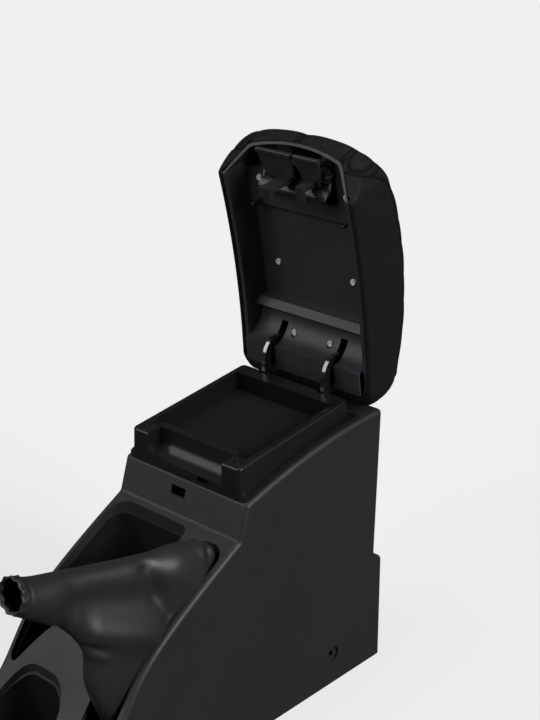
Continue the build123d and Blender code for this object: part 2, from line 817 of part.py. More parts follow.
with BuildPart() as boot_hem:
    with BuildSketch():
        left = slot_left - boot_hem_width
        right = slot_right + boot_hem_width
        add(cornered(left, right, boot_front[0] - boot_hem_width, slot_rear + boot_hem_width, slot_corner + 2))
        inner_left = boot_left + boot_wall / 2
        inner_right = boot_right - boot_wall / 2
        add(
            cornered(inner_left, inner_right, boot_front[0] + 2 * boot_wall, boot_rear[0] - 2 * boot_wall, slot_corner - 1),
            mode=Mode.SUBTRACT,
        )
    extrude(amount=tray_front_z)
    with BuildSketch(Plane.YZ):
        with BuildLine():
            deck_band(boot_hem_drop, boot_hem_drop + boot_hem_thickness)
        make_face()
    extrude(amount=half_width, both=True, mode=Mode.INTERSECT)

with BuildPart() as handbrake_boot:
    for plane, width, length, corner in boot_rings:
        with BuildSketch(plane):
            RectangleRounded(width, length, corner)
    loft()
    extrude(handbrake_boot.faces().sort_by(Axis.Y)[0], amount=neck_length)
    add(boot_hem.part)
    add(boot_inside.part, mode=Mode.SUBTRACT)
handbrake_boot.part.label = "handbrake_boot"
export_step(handbrake_boot.part, "parts/handbrake_boot.step")

# Lid liner: the hard inside of the lid, with a hinge boss, a trough, a recess and a shelf for the latch
with BuildPart() as lid_recess:
    with BuildSketch(lid_side):
        with BuildLine():
            edge_v = boss_front_v - wall
            front_u = lid_nose_u - liner_wall
            trough = ThreePointArc((boss_height, boss_front_v), trough_middle, trough_top)
            points = [ridge, ridge_step, (recess_start, recess_v), (shelf_start, recess_v), (shelf_u, shelf_v)]
            points += [(pocket_u - wall, shelf_v), (pocket_u, pocket_v), (front_u, pocket_v), (front_u, edge_v)]
            Polyline(trough @ 1, *points, (boss_height, edge_v), trough @ 0)
        make_face()
    extrude(amount=rim_half_width, both=True)
    with BuildSketch(lid_level(boss_front_v - wall)):
        add(rim_plan(liner_wall))
    extrude(amount=-boss_back_v - 2 * wall, mode=Mode.INTERSECT)
    with BuildSketch(Plane(origin=lid_origin, x_dir=(1, 0, 0), z_dir=lid_u)):
        with BuildLine():
            lean = tan(radians(recess_draft))
            wide = rim_inner_half_width - lean * (boss_front_v - wall)
            narrow = rim_inner_half_width - lean * boss_back_v
            mouth = [(-wide, boss_front_v - wall), (wide, boss_front_v - wall)]
            Polyline(*mouth, (narrow, boss_back_v), (-narrow, boss_back_v), close=True)
        make_face()
    extrude(amount=lid_nose_u, mode=Mode.INTERSECT)

slot_half = arm_slot_width / 2
hollow_edge = slot_half + cheek_wall
boss_rooms = (
    (hollow_edge - arm_x, arm_x - hollow_edge),
    (arm_x + hollow_edge, rim_half_width - liner_wall),
    (liner_wall - rim_half_width, -arm_x - hollow_edge),
)
screws = [
    (-hinge_screw[0], hinge_screw[1], hinge_screw[2]),
    hinge_screw,
    (-middle_screw[0], middle_screw[1], middle_screw[2]),
    middle_screw,
    (-upper_screw[0], upper_screw[1], upper_screw[2]),
    upper_screw,
]

with BuildPart() as lid_liner:
    with BuildSketch(lid_side):
        with BuildLine():
            rim = ThreePointArc((0, 0), (rim_length / 2, rim_sag), (rim_length, 0))
            shelf_back = shelf_v + liner_wall
            recess_back = recess_v + liner_wall
            pocket_back = pocket_v + liner_wall
            points = [(lid_nose_u, lid_nose_v), (lid_nose_u, pocket_back), (pocket_u - wall, pocket_back)]
            points += [(pocket_u - 2 * wall, shelf_back), (shelf_u + wall, shelf_back), (shelf_start, recess_back)]
            points += [(trough_top[0], recess_back), (trough_top[0] - wall, boss_back_v)]
            points += [(boss_back_u, boss_back_v), (0, boss_foot_v)]
            Polyline(rim @ 1, *points, rim @ 0)
        make_face()
    extrude(amount=rim_half_width, both=True)
    with BuildSketch(lid_side):
        with BuildLine():
            front = [(0, boss_front_v), (boss_height, boss_front_v), trough_top, (0, trough_top[1])]
            Polyline(*front, close=True)
        make_face()
    extrude(amount=rim_half_width - 2 * liner_wall, both=True)
    with BuildSketch(lid_level(boss_front_v - wall)):
        add(rim_plan(0))
    extrude(amount=-boss_back_v - 2 * wall, mode=Mode.INTERSECT)
    for left, right in boss_rooms:
        with BuildSketch(lid_section(right)):
            with BuildLine():
                room_front = boss_front_v + liner_wall
                room_high = trough_top[0] - liner_wall
                bend = (trough_middle[0] - 2 * liner_wall, trough_middle[1] + liner_wall)
                top = (trough_middle[0] + 3 * liner_wall, trough_top[1] + liner_wall)
                points = [(liner_wall, room_front), (boss_height - liner_wall, room_front), bend, top]
                points += [(room_high, top[1]), (room_high, boss_back_v + wall), (liner_wall, boss_back_v + wall)]
                Polyline(*points, close=True)
            make_face()
        extrude(amount=right - left, mode=Mode.SUBTRACT)
    add(lid_recess.part, mode=Mode.SUBTRACT)
    for side in (1, -1):
        with BuildSketch(lid_section(side * arm_x + slot_half)):
            with BuildLine():
                points = [(-wall, boss_front_v - wall), (arm_slot_u, boss_front_v - wall), (arm_slot_u, recess_v)]
                points += [(trough_middle[0], boss_back_v + wall), (-wall, boss_back_v + wall)]
                Polyline(*points, close=True)
            make_face()
        extrude(amount=arm_slot_width, mode=Mode.SUBTRACT)
    with BuildSketch(lid_side):
        with Locations((hinge_u, hinge_v)):
            Circle(hinge_pin_radius + running_gap)
    extrude(amount=hinge_pin_half_length, both=True, mode=Mode.SUBTRACT)
    for x, u, v in screws:
        with BuildSketch(lid_level(v)):
            with Locations((x, u)):
                Circle(screw_head_radius + 1)
        extrude(amount=trough_top[1], mode=Mode.SUBTRACT)
        with BuildSketch(lid_level(v)):
            with Locations((x, u)):
                Circle(screw_shank_radius + gap)
        extrude(amount=-boss_back_v, mode=Mode.SUBTRACT)
lid_liner.part.label = "lid_liner"
export_step(lid_liner.part, "parts/lid_liner.step")

# Lid cover: padded leatherette over the base, with a hem round the liner's rim
with BuildPart() as pad_inside:
    with BuildSketch(lid_side):
        add(pad_profile(pad_side))
        with Locations((0, -pad_back)):
            add(pad_profile(pad_side), mode=Mode.INTERSECT)
    extrude(amount=rim_half_width + base_wall + pad_side, both=True)
    with BuildSketch(lid_level(-rim_half_width)):
        add(pad_plan(pad_side))
    extrude(amount=-3 * rim_half_width, mode=Mode.INTERSECT)

# Room in the cover and its base for the liner's front end and for the hinge arms when the lid is shut
with BuildPart() as front_room:
    with BuildSketch(lid_level(boss_front_v - wall)):
        add(rim_plan(-gap))
        with Locations((0, pocket_u - lid_nose_u)):
            Rectangle(4 * rim_half_width, 2 * (lid_nose_u - 2 * wall), mode=Mode.SUBTRACT)
    extrude(amount=boss_front_v - wall - pocket_v - liner_wall - gap)

with BuildPart() as arm_room:
    for side in (1, -1):
        with BuildSketch(lid_section(side * arm_x + slot_half)):
            with Locations((hinge_u, hinge_v)):
                Circle(arm_sweep)
            with Locations((arm_sweep_u + arm_sweep, arm_sweep_v + arm_sweep)):
                Rectangle(2 * arm_sweep, 2 * arm_sweep, mode=Mode.INTERSECT)
        extrude(amount=arm_slot_width)

with BuildPart() as lid_pad:
    with BuildSketch(lid_side):
        add(pad_profile(0))
    extrude(amount=rim_half_width + base_wall + 2 * pad_side, both=True)
    with BuildSketch(lid_level(-rim_half_width)):
        add(pad_plan(0))
    extrude(amount=-3 * rim_half_width, mode=Mode.INTERSECT)
    add(pad_inside.part, mode=Mode.SUBTRACT)
    with BuildSketch(lid_level(boss_front_v - wall)):
        add(rim_plan(-gap))
    extrude(amount=-recess_v, mode=Mode.SUBTRACT)
    add(front_room.part, mode=Mode.SUBTRACT)
    add(arm_room.part, mode=Mode.SUBTRACT)
lid_pad.part.label = "lid_pad"
export_step(lid_pad.part, "parts/lid_pad.step")

# Lid base: thin shell under the cover, with posts for the liner's screws
with BuildPart() as base_inside:
    with BuildSketch(lid_side):
        add(pad_profile(pad_side + gap + base_wall))
        with Locations((0, -pad_back)):
            add(pad_profile(pad_side + gap + base_wall), mode=Mode.INTERSECT)
    extrude(amount=rim_half_width + base_wall, both=True)
    with BuildSketch(lid_level(-rim_half_width)):
        add(pad_plan(pad_side + gap + base_wall))
    extrude(amount=-3 * rim_half_width, mode=Mode.INTERSECT)
    with BuildSketch(lid_level(-rim_half_width)):
        add(rim_plan(-gap))
    extrude(amount=-rim_half_width - rim_sag - pad_side - 2 * base_wall)
    with BuildSketch(lid_level(-rim_half_width)):
        add(rim_plan(-gap))
        with Locations((0, shelf_u / 2)):
            Rectangle(4 * rim_half_width, shelf_u + 4 * wall, mode=Mode.SUBTRACT)
    extrude(amount=-rim_half_width - recess_v)

with BuildPart() as base_outside:
    with BuildSketch(lid_side):
        add(pad_profile(pad_side + gap))
        with Locations((0, -pad_back)):
            add(pad_profile(pad_side + gap), mode=Mode.INTERSECT)
    extrude(amount=rim_half_width + base_wall, both=True)
    with BuildSketch(lid_level(-rim_half_width)):
        add(pad_plan(pad_side + gap))
    extrude(amount=-3 * rim_half_width, mode=Mode.INTERSECT)

with BuildPart() as base_posts:
    for x, u, v in screws:
        under_v = max(v + liner_wall, trough_top[1] + liner_wall)
        with BuildSketch(lid_level(under_v + gap)):
            with Locations((x, u)):
                Circle(screw_post_radius)
        extrude(amount=-rim_half_width)
    add(base_outside.part, mode=Mode.INTERSECT)

with BuildPart() as lid_base:
    add(base_outside.part)
    add(base_inside.part, mode=Mode.SUBTRACT)
    add(front_room.part, mode=Mode.SUBTRACT)
    add(arm_room.part, mode=Mode.SUBTRACT)
    add(base_posts.part)
    for x, u, v in screws:
        with BuildSketch(lid_level(v)):
            with Locations((x, u)):
                Circle(screw_shank_radius)
        extrude(amount=-screw_shank, mode=Mode.SUBTRACT)
lid_base.part.label = "lid_base"
export_step(lid_base.part, "parts/lid_base.step")

# Screws that hold the liner to the base
with BuildPart() as lid_screws:
    for x, u, v in screws:
        with BuildSketch(lid_level(v)):
            with Locations((x, u)):
                Circle(screw_head_radius)
        extrude(amount=screw_head_height, taper=12)
        with BuildSketch(lid_level(v)):
            with Locations((x, u)):
                Circle(screw_shank_radius)
        extrude(amount=-screw_shank)
        with BuildSketch(lid_level(v - screw_head_height)):
            with Locations((x, u)):
                Rectangle(screw_cross[0], screw_cross[1])
                Rectangle(screw_cross[1], screw_cross[0])
        extrude(amount=-screw_cross[2], mode=Mode.SUBTRACT)
lid_screws.part.label = "lid_screws"
export_step(lid_screws.part, "parts/lid_screws.step")

# Two pegs on the shelf that enter the tray's lobes when the lid is shut
with BuildPart() as lid_pegs:
    for side in (1, -1):
        with BuildSketch(lid_level(shelf_v)):
            with Locations((side * peg_place[0], peg_place[1])):
                Circle(peg_radius)
        extrude(amount=shelf_v - peg_tip_v, taper=3.5)
    fillet([e for e in lid_pegs.edges().filter_by(GeomType.CIRCLE) if e.radius < peg_radius - 0.5], peg_tip_radius / 2)
lid_pegs.part.label = "lid_pegs"
export_step(lid_pegs.part, "parts/lid_pegs.step")

# Hinge: two goose-neck arms on a bracket, their bushes and the rod that carries the lid
hinge_spot = (hinge_y + tray_front, hinge_z)
bush_radius = hinge_pin_radius + running_gap + bush_wall


def arm_sketch():
    # Side view of a hinge arm: foot, straight leg, bent neck and eye
    arm_rear = arm_front + arm_width
    top_z = hinge_z + arm_top_rise
    with BuildSketch(mode=Mode.PRIVATE) as side:
        with BuildLine():
            leg = Line(placed((arm_front, arm_foot_z)), placed((arm_front, arm_bend_z)))
            neck_top = placed((arm_front + 2 * arm_width, top_z))
            neck = Spline(leg @ 1, placed((arm_front + 7, top_z - 8)), neck_top, tangents=[(0, 1), (1, 0)])
            back = [neck @ 1, placed((hinge_y, top_z)), placed((hinge_y + arm_eye_radius, hinge_z))]
            under = [placed((hinge_y - arm_eye_radius, hinge_z)), placed((hinge_y - arm_eye_radius, top_z - 20))]
            Polyline(*back, *under)
            crook = placed((arm_rear + arm_width, top_z - arm_width - 1))
            inner_end = placed((arm_rear, arm_bend_z))
            Spline(under[-1], crook, placed((arm_rear + 2, top_z - 20)), inner_end, tangents=[(0, 1), (0, -1)])
            foot_top = arm_foot_z + arm_foot_height
            foot_rear = arm_front + arm_foot_length
            foot = [inner_end, placed((arm_rear, foot_top)), placed((foot_rear, foot_top)), placed((foot_rear, arm_foot_z))]
            Polyline(*foot, leg @ 0)
        make_face()
        with Locations(hinge_spot):
            Circle(arm_eye_radius)
            Circle(bush_radius, mode=Mode.SUBTRACT)
        for place in rivet_places:
            with Locations(placed(place)):
                Circle(rivet_radius, mode=Mode.SUBTRACT)
    return side.sketch


with BuildPart() as hinge_arm_left:
    with BuildSketch(Plane.YZ.offset(-arm_x - arm_thickness / 2)):
        add(arm_sketch())
    extrude(amount=arm_thickness)
hinge_arm_left.part.label = "hinge_arm_left"
export_step(hinge_arm_left.part, "parts/hinge_arm_left.step")

with BuildPart() as hinge_arm_right:
    with BuildSketch(Plane.YZ.offset(arm_x - arm_thickness / 2)):
        add(arm_sketch())
    extrude(amount=arm_thickness)
hinge_arm_right.part.label = "hinge_arm_right"
export_step(hinge_arm_right.part, "parts/hinge_arm_right.step")

with BuildPart() as hinge_bushes:
    for side in (1, -1):
        with BuildSketch(Plane.YZ.offset(side * arm_x - bush_length / 2)):
            with Locations(hinge_spot):
                Circle(bush_radius)
                Circle(hinge_pin_radius + running_gap, mode=Mode.SUBTRACT)
        extrude(amount=bush_length)
hinge_bushes.part.label = "hinge_bushes"
export_step(hinge_bushes.part, "parts/hinge_bushes.step")

with BuildPart() as hinge_pin:
    with BuildSketch(Plane.YZ):
        with Locations(hinge_spot):
            Circle(hinge_pin_radius)
    extrude(amount=hinge_pin_half_length, both=True)
    chamfer(hinge_pin.edges(), hinge_pin_radius / 5)
hinge_pin.part.label = "hinge_pin"
export_step(hinge_pin.part, "parts/hinge_pin.step")

# Bracket on the inside of the console's rear wall, with a tab beside each arm's foot
rear_lean = (rear_top[0] - rear_step_top[0]) / (rear_top[1] - rear_step_top[1])
bracket_low_y = rear_step_top[0] + (bracket_low_z - rear_step_top[1]) * rear_lean - wall - gap
bracket_high_y = bracket_low_y + bracket_height * rear_lean
tab_x = arm_x + arm_thickness / 2 + gap / 2

with BuildPart() as hinge_bracket:
    with BuildSketch(Plane.YZ):
        with BuildLine():
            high_z = bracket_low_z + bracket_height
            low = [(bracket_low_y - bracket_sheet, bracket_low_z), (bracket_low_y, bracket_low_z)]
            high = [(bracket_high_y, high_z), (bracket_high_y - bracket_sheet, high_z)]
            Polyline(*[placed(p) for p in low + high], close=True)
        make_face()
    extrude(amount=bracket_half_width, both=True)
    for start in (tab_x, -tab_x - bracket_sheet):
        with BuildSketch(Plane.YZ.offset(start)):
            with BuildLine():
                front_y = arm_front + 1
                low = [(front_y, arm_foot_z + 1), (bracket_low_y - 1, bracket_low_z + 2)]
                high = [(bracket_low_y - 1, bracket_low_z + bracket_height - 4), (front_y, arm_foot_z + arm_foot_height - 1)]
                Polyline(*[placed(p) for p in low + high], close=True)
            make_face()
            for place in rivet_places:
                with Locations(placed(place)):
                    Circle(rivet_radius, mode=Mode.SUBTRACT)
        extrude(amount=bracket_sheet)
hinge_bracket.part.label = "hinge_bracket"
export_step(hinge_bracket.part, "parts/hinge_bracket.step")

with BuildPart() as bracket_rivets:
    for side in (1, -1):
        inner_x = arm_x - arm_thickness / 2
        outer_x = tab_x + bracket_sheet
        for place in rivet_places:
            spot = Plane(origin=(side * inner_x, place[0] + tray_front, place[1]), z_dir=(side, 0, 0))
            with BuildSketch(spot):
                Circle(rivet_radius)
            extrude(amount=outer_x - inner_x)
            with BuildSketch(spot):
                Circle(rivet_head_radius)
            extrude(amount=-rivet_head, taper=20)
            with BuildSketch(spot.offset(outer_x - inner_x)):
                Circle(rivet_head_radius)
            extrude(amount=rivet_head, taper=20)
bracket_rivets.part.label = "bracket_rivets"
export_step(bracket_rivets.part, "parts/bracket_rivets.step")

# Latch: two sprung levers on one pin, each with a finger bar and a hook
plate_along = Vector(paddle_u - latch_u, paddle_v - latch_v).normalized()
plate_across = Vector(-plate_along.Y, plate_along.X) * (paddle_plate / 2)


def lever_plate():
    # Strip from the barrel to the finger bar in the lid's side view
    ends = [Vector(latch_u, latch_v), Vector(paddle_u, paddle_v)]
    strip = [ends[0] + plate_across, ends[1] + plate_across, ends[1] - plate_across, ends[0] - plate_across]
    Polyline(*[(p.X, p.Y) for p in strip], close=True)


def lever_face(paddle):
    # Plane of the finger plate from its bar down to its foot, and the plate's outline on it, narrower below
    top = lid_origin + lid_u * paddle_u + lid_v * paddle_v
    foot = lid_origin + lid_u * paddle_foot_u + lid_v * paddle_foot_v
    down = foot - top
    plane = Plane(origin=top, x_dir=(1, 0, 0), z_dir=Vector(1, 0, 0).cross(down))
    left, right = paddle
    low = [(right - paddle_inset, down.length), (left + paddle_inset, down.length)]
    return plane, [(left, 0), (right, 0)] + low


def hook_shape(low_v, nose_u, nose):
    # Hook in the lid's side view: an arm down from the barrel and a nose turned towards the hinge
    outer_u = hook_u + hook_thickness
    tip = [(outer_u, low_v), (nose_u + 1, low_v), (nose_u, low_v + 1), (nose_u, low_v + nose - 1)]
    Polyline((outer_u, latch_v), *tip, (nose_u + 2, low_v + nose), (hook_u, low_v + nose), (hook_u, latch_v), close=True)


with BuildPart() as long_latch_lever:
    with BuildSketch(lid_section(long_barrel[1])):
        with Locations((latch_u, latch_v)):
            Circle(barrel_radius)
    extrude(amount=long_barrel[1] - long_barrel[0])
    with BuildSketch(lid_section(long_barrel[1])):
        with BuildLine():
            lever_plate()
        make_face()
    extrude(amount=long_barrel[1] - long_barrel[0])
    with BuildSketch(lid_section(long_paddle[1])) as long_bar:
        with Locations((paddle_u, paddle_v)):
            RectangleRounded(paddle_bar, paddle_bar, paddle_bar / 4)
    extrude(amount=long_paddle[1] - long_paddle[0])
    face_plane, face_points = lever_face(long_paddle)
    with BuildSketch(face_plane):
        with BuildLine():
            Polyline(*face_points, close=True)
        make_face()
    extrude(amount=paddle_plate / 2, both=True)
    with BuildSketch(lid_section(long_hook[1])):
        with BuildLine():
            hook_shape(long_hook_v, long_nose_u, long_nose)
        make_face()
    extrude(amount=long_hook[1] - long_hook[0])
    with BuildSketch(lid_side):
        with Locations((latch_u, latch_v)):
            Circle(latch_pin_radius + running_gap)
    extrude(amount=half_width, both=True, mode=Mode.SUBTRACT)
long_latch_lever.part.label = "long_latch_lever"
export_step(long_latch_lever.part, "parts/long_latch_lever.step")

with BuildPart() as short_latch_lever:
    with BuildSketch(lid_section(short_barrel[1])):
        with Locations((latch_u, latch_v)):
            Circle(barrel_radius)
    extrude(amount=short_barrel[1] - short_barrel[0])
    with BuildSketch(lid_section(short_barrel[1])):
        with BuildLine():
            lever_plate()
        make_face()
    extrude(amount=short_barrel[1] - short_barrel[0])
    with BuildSketch(lid_section(short_paddle[1])):
        with Locations((paddle_u, paddle_v)):
            RectangleRounded(paddle_bar, paddle_bar, paddle_bar / 4)
    extrude(amount=short_paddle[1] - short_paddle[0])
    face_plane, face_points = lever_face(short_paddle)
    with BuildSketch(face_plane):
        with BuildLine():
            Polyline(*face_points, close=True)
        make_face()
    extrude(amount=paddle_plate / 2, both=True)
    with BuildSketch(lid_section(short_hook[1])):
        with BuildLine():
            hook_shape(short_hook_v, short_nose_u, short_nose)
        make_face()
    extrude(amount=short_hook[1] - short_hook[0])
    with BuildSketch(lid_side):
        with Locations((latch_u, latch_v)):
            Circle(latch_pin_radius + running_gap)
    extrude(amount=half_width, both=True, mode=Mode.SUBTRACT)
short_latch_lever.part.label = "short_latch_lever"
export_step(short_latch_lever.part, "parts/short_latch_lever.step")

# Half-round cover on the shelf, with a cheek at each end for the latch pin
with BuildPart() as latch_housing:
    with BuildSketch(lid_section(housing_right)):
        with BuildLine():
            foot_v = shelf_v - gap / 3
            crown = ((housing_low + housing_high) / 2, housing_v)
            round_over = Spline(
                (housing_low, foot_v), (housing_low + 2, foot_v - 12), crown, (housing_high - 1, foot_v - 14), (housing_high, foot_v)
            )
            Line(round_over @ 1, round_over @ 0)
        make_face()
    extrude(amount=housing_right - housing_left)
    with BuildSketch(lid_section(housing_right)):
        with BuildLine():
            low_u = housing_low + housing_wall
            high_u = housing_high - housing_wall
            crown = ((housing_low + housing_high) / 2, housing_v + housing_wall)
            round_under = Spline((low_u, shelf_v), (low_u + 2, foot_v - 11), crown, (high_u - 1, foot_v - 12), (high_u, shelf_v))
            Line(round_under @ 1, round_under @ 0)
        make_face()
    extrude(amount=housing_right - housing_left - housing_wall, mode=Mode.SUBTRACT)
    for start in (housing_right, housing_left + housing_cheek):
        with BuildSketch(lid_section(start)):
            with BuildLine():
                ear_v = latch_v - barrel_radius - 1
                ear_u = latch_u + barrel_radius
                ear = [(housing_high - wall, foot_v), (housing_high - wall, housing_v + 8), (latch_u - 4, ear_v), (ear_u, ear_v)]
                Polyline(*ear, (ear_u, foot_v), close=True)
            make_face()
            with Locations((latch_u, latch_v)):
                Circle(latch_pin_radius, mode=Mode.SUBTRACT)
        extrude(amount=housing_cheek)
latch_housing.part.label = "latch_housing"
export_step(latch_housing.part, "parts/latch_housing.step")

with BuildPart() as latch_pin:
    with BuildSketch(lid_section(housing_right)):
        with Locations((latch_u, latch_v)):
            Circle(latch_pin_radius)
    extrude(amount=housing_right - housing_left)
latch_pin.part.label = "latch_pin"
export_step(latch_pin.part, "parts/latch_pin.step")

# Coil springs on the pin beside the two levers
with BuildPart() as latch_springs:
    coil_radius = latch_pin_radius + 2 * gap + spring_wire
    for start in (short_barrel[1] + 1, long_barrel[0] - 1 - spring_turns * 1.8 * spring_wire):
        with BuildSketch(Plane(origin=lid_origin + lid_u * latch_u + lid_v * latch_v, x_dir=(1, 0, 0), z_dir=lid_v)):
            for turn in range(spring_turns):
                with Locations((start + spring_wire + turn * 1.8 * spring_wire, coil_radius)):
                    Circle(spring_wire)
        revolve(axis=Axis(lid_origin + lid_u * latch_u + lid_v * latch_v, (1, 0, 0)))
latch_springs.part.label = "latch_springs"
export_step(latch_springs.part, "parts/latch_springs.step")

# Glossy insert on the floor of the latch's pocket
with BuildPart() as latch_panel:
    with BuildSketch(lid_level(pocket_v - gap / 3)):
        with BuildLine():
            low_u = pocket_u + 1
            high_u = lid_front_u - liner_wall - gap
            corners = [(-panel_half_width, low_u), (panel_half_width, low_u), (panel_half_width, high_u), (-panel_half_width, high_u)]
            Polyline(*corners, close=True)
        make_face()
    extrude(amount=panel_thickness)
latch_panel.part.label = "latch_panel"
export_step(latch_panel.part, "parts/latch_panel.step")
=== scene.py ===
import json
import math

import bmesh
import bpy
import numpy as np
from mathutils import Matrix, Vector


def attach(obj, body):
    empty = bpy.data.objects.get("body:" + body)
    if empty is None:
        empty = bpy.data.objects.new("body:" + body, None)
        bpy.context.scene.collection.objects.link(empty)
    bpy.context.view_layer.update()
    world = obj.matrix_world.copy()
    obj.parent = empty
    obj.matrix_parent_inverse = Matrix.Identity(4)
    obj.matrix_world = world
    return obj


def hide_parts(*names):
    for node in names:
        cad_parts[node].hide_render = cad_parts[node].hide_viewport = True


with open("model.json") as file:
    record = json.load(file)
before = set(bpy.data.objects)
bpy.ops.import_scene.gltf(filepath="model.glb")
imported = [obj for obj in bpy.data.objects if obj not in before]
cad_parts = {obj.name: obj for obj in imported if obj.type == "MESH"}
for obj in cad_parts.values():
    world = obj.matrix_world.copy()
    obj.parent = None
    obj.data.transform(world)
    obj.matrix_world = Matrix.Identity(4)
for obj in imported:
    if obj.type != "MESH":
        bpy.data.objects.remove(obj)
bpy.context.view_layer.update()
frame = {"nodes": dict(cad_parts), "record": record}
nodes = frame["nodes"]
print("frame loaded", len(nodes))

mm = 0.001
weldGap = 1e-5
tiny = 1e-9


# Grid of points (rows, columns, 3) in metres to a mesh of quads; the last column joins the first.
def gridMesh(name, points, uv=None, values=None, merge=0.0):
    rows, cols = points.shape[:2]
    r, c = np.meshgrid(np.arange(rows - 1), np.arange(cols), indexing="ij")
    right = (c + 1) % cols
    quads = np.stack([r * cols + c, r * cols + right, (r + 1) * cols + right, (r + 1) * cols + c], axis=-1)
    quads = quads.reshape(-1, 4)
    mesh = bpy.data.meshes.new(name)
    mesh.vertices.add(rows * cols)
    mesh.vertices.foreach_set("co", points.reshape(-1).astype(np.float32))
    mesh.loops.add(quads.size)
    mesh.loops.foreach_set("vertex_index", quads.reshape(-1).astype(np.int32))
    mesh.polygons.add(len(quads))
    mesh.polygons.foreach_set("loop_start", np.arange(0, quads.size, 4, dtype=np.int32))
    mesh.polygons.foreach_set("use_smooth", np.ones(len(quads), dtype=bool))
    mesh.update(calc_edges=True)
    if uv is not None:
        layer = mesh.uv_layers.new(name="UVMap")
        corners = uv.reshape(-1, 2)[quads.reshape(-1)].copy()
        # The last column's right corners take the full turn, not zero.
        onRight = np.tile(np.array([False, True, True, False]), len(quads))
        inLast = np.repeat((c == cols - 1).reshape(-1), 4)
        corners[onRight & inLast, 0] = uv[0, -1, 0] + uv[0, 1, 0] - uv[0, 0, 0]
        layer.data.foreach_set("uv", corners.reshape(-1).astype(np.float32))
    for key, grid in (values or {}).items():
        layer = mesh.attributes.new(key, "FLOAT", "POINT")
        layer.data.foreach_set("value", grid.reshape(-1).astype(np.float32))
    if merge:
        work = bmesh.new()
        work.from_mesh(mesh)
        bmesh.ops.remove_doubles(work, verts=work.verts, dist=merge)
        work.to_mesh(mesh)
        work.free()
    obj = bpy.data.objects.new(name, mesh)
    bpy.context.collection.objects.link(obj)
    return obj


# Smooth curve through the control points of each row: uniform Catmull-Rom, ends doubled.
def throughPoints(ctrl, count):
    held = np.concatenate([ctrl[:1] * 2 - ctrl[1:2], ctrl, ctrl[-1:] * 2 - ctrl[-2:-1]])
    t = np.linspace(0, len(ctrl) - 1, count)
    i = np.minimum(t.astype(int), len(ctrl) - 2)
    f = (t - i).reshape(-1, *([1] * (ctrl.ndim - 1)))
    a, b, c, d = held[i], held[i + 1], held[i + 2], held[i + 3]
    bent = (2 * a - 5 * b + 4 * c - d) * f ** 2 + (3 * b - 3 * c + d - a) * f ** 3
    return 0.5 * (2 * b + (c - a) * f + bent)


# Unit normals of a closed grid from the cross product of its two central differences.
def gridNormals(points):
    along = np.gradient(points, axis=0)
    around = np.roll(points, -1, axis=1) - np.roll(points, 1, axis=1)
    n = np.cross(around, along)
    return n / np.maximum(np.linalg.norm(n, axis=-1, keepdims=True), tiny)


# Smooth step from 0 at low to 1 at high.
def ramp(x, low, high):
    t = np.clip((x - low) / (high - low), 0, 1)
    return t * t * (3 - 2 * t)


# Foot of the open lid's own axes (Y, Z) in millimetres, and the sine and cosine of its lean.
lidFrame = {"foot": (230, 376.4), "lean": (0.16797, 0.98579)}


# Lid coordinates in millimetres (across, up the lid, out of its back) to the shared frame in metres.
def lidToFrame(points):
    x, u, v = points[..., 0], points[..., 1], points[..., 2]
    (y0, z0), (sine, cosine) = lidFrame["foot"], lidFrame["lean"]
    return np.stack([x, y0 - sine * u + cosine * v, z0 + cosine * u + sine * v], axis=-1) * mm


# New shader group with its sockets: the group, what goes in and what comes out.
def makeGroup(name, inputs, outputs):
    group = bpy.data.node_groups.new(name, "ShaderNodeTree")
    for label, kind, value in inputs:
        socket = group.interface.new_socket(label, in_out="INPUT", socket_type=kind)
        if value is not None:
            socket.default_value = value
    for label in outputs:
        group.interface.new_socket(label, in_out="OUTPUT", socket_type="NodeSocketFloat")
    start = group.nodes.new("NodeGroupInput")
    end = group.nodes.new("NodeGroupOutput")
    return group, start.outputs, end.inputs


def link(tree, source, target):
    tree.links.new(source, target)


# A socket gets a constant directly, or a link from another socket.
def feed(tree, value, socket):
    if isinstance(value, (int, float)):
        socket.default_value = value
    else:
        link(tree, value, socket)


def mathNode(tree, kind, *values):
    node = tree.nodes.new("ShaderNodeMath")
    node.operation = kind
    for socket, value in zip(node.inputs, values):
        feed(tree, value, socket)
    return node.outputs[0]


def product(tree, a, b):
    return mathNode(tree, "MULTIPLY", a, b)


def multiplyAdd(tree, a, factor, added):
    return mathNode(tree, "MULTIPLY_ADD", a, factor, added)


def scaled(tree, vector, scale):
    node = tree.nodes.new("ShaderNodeVectorMath")
    node.operation = "SCALE"
    link(tree, vector, node.inputs[0])
    feed(tree, scale, node.inputs["Scale"])
    return node.outputs[0]


def noise(tree, vector, scale, detail=2.0, rough=0.5):
    node = tree.nodes.new("ShaderNodeTexNoise")
    link(tree, vector, node.inputs["Vector"])
    node.inputs["Scale"].default_value = scale
    node.inputs["Detail"].default_value = detail
    node.inputs["Roughness"].default_value = rough
    return node.outputs["Fac"]


# Range low..high to out0..out1, held at both ends.
def remap(tree, value, low, high, out0=0.0, out1=1.0, smooth=False):
    node = tree.nodes.new("ShaderNodeMapRange")
    if smooth:
        node.interpolation_type = "SMOOTHSTEP"
    link(tree, value, node.inputs["Value"])
    for label, v in (("From Min", low), ("From Max", high), ("To Min", out0), ("To Max", out1)):
        node.inputs[label].default_value = v
    return node.outputs["Result"]


# Smooth fall from 1 at low to 0 at high.
def fallOff(tree, value, low, high):
    return remap(tree, value, low, high, 1.0, 0.0, smooth=True)


def cellNode(tree, vector, scale, feature="F1"):
    node = tree.nodes.new("ShaderNodeTexVoronoi")
    node.feature = feature
    link(tree, vector, node.inputs["Vector"])
    node.inputs["Scale"].default_value = scale
    return node.outputs


grainShape = {"fine": 2.3, "fineShare": 0.35, "fleck": 0.55, "fleckRange": (0.35, 0.7)}


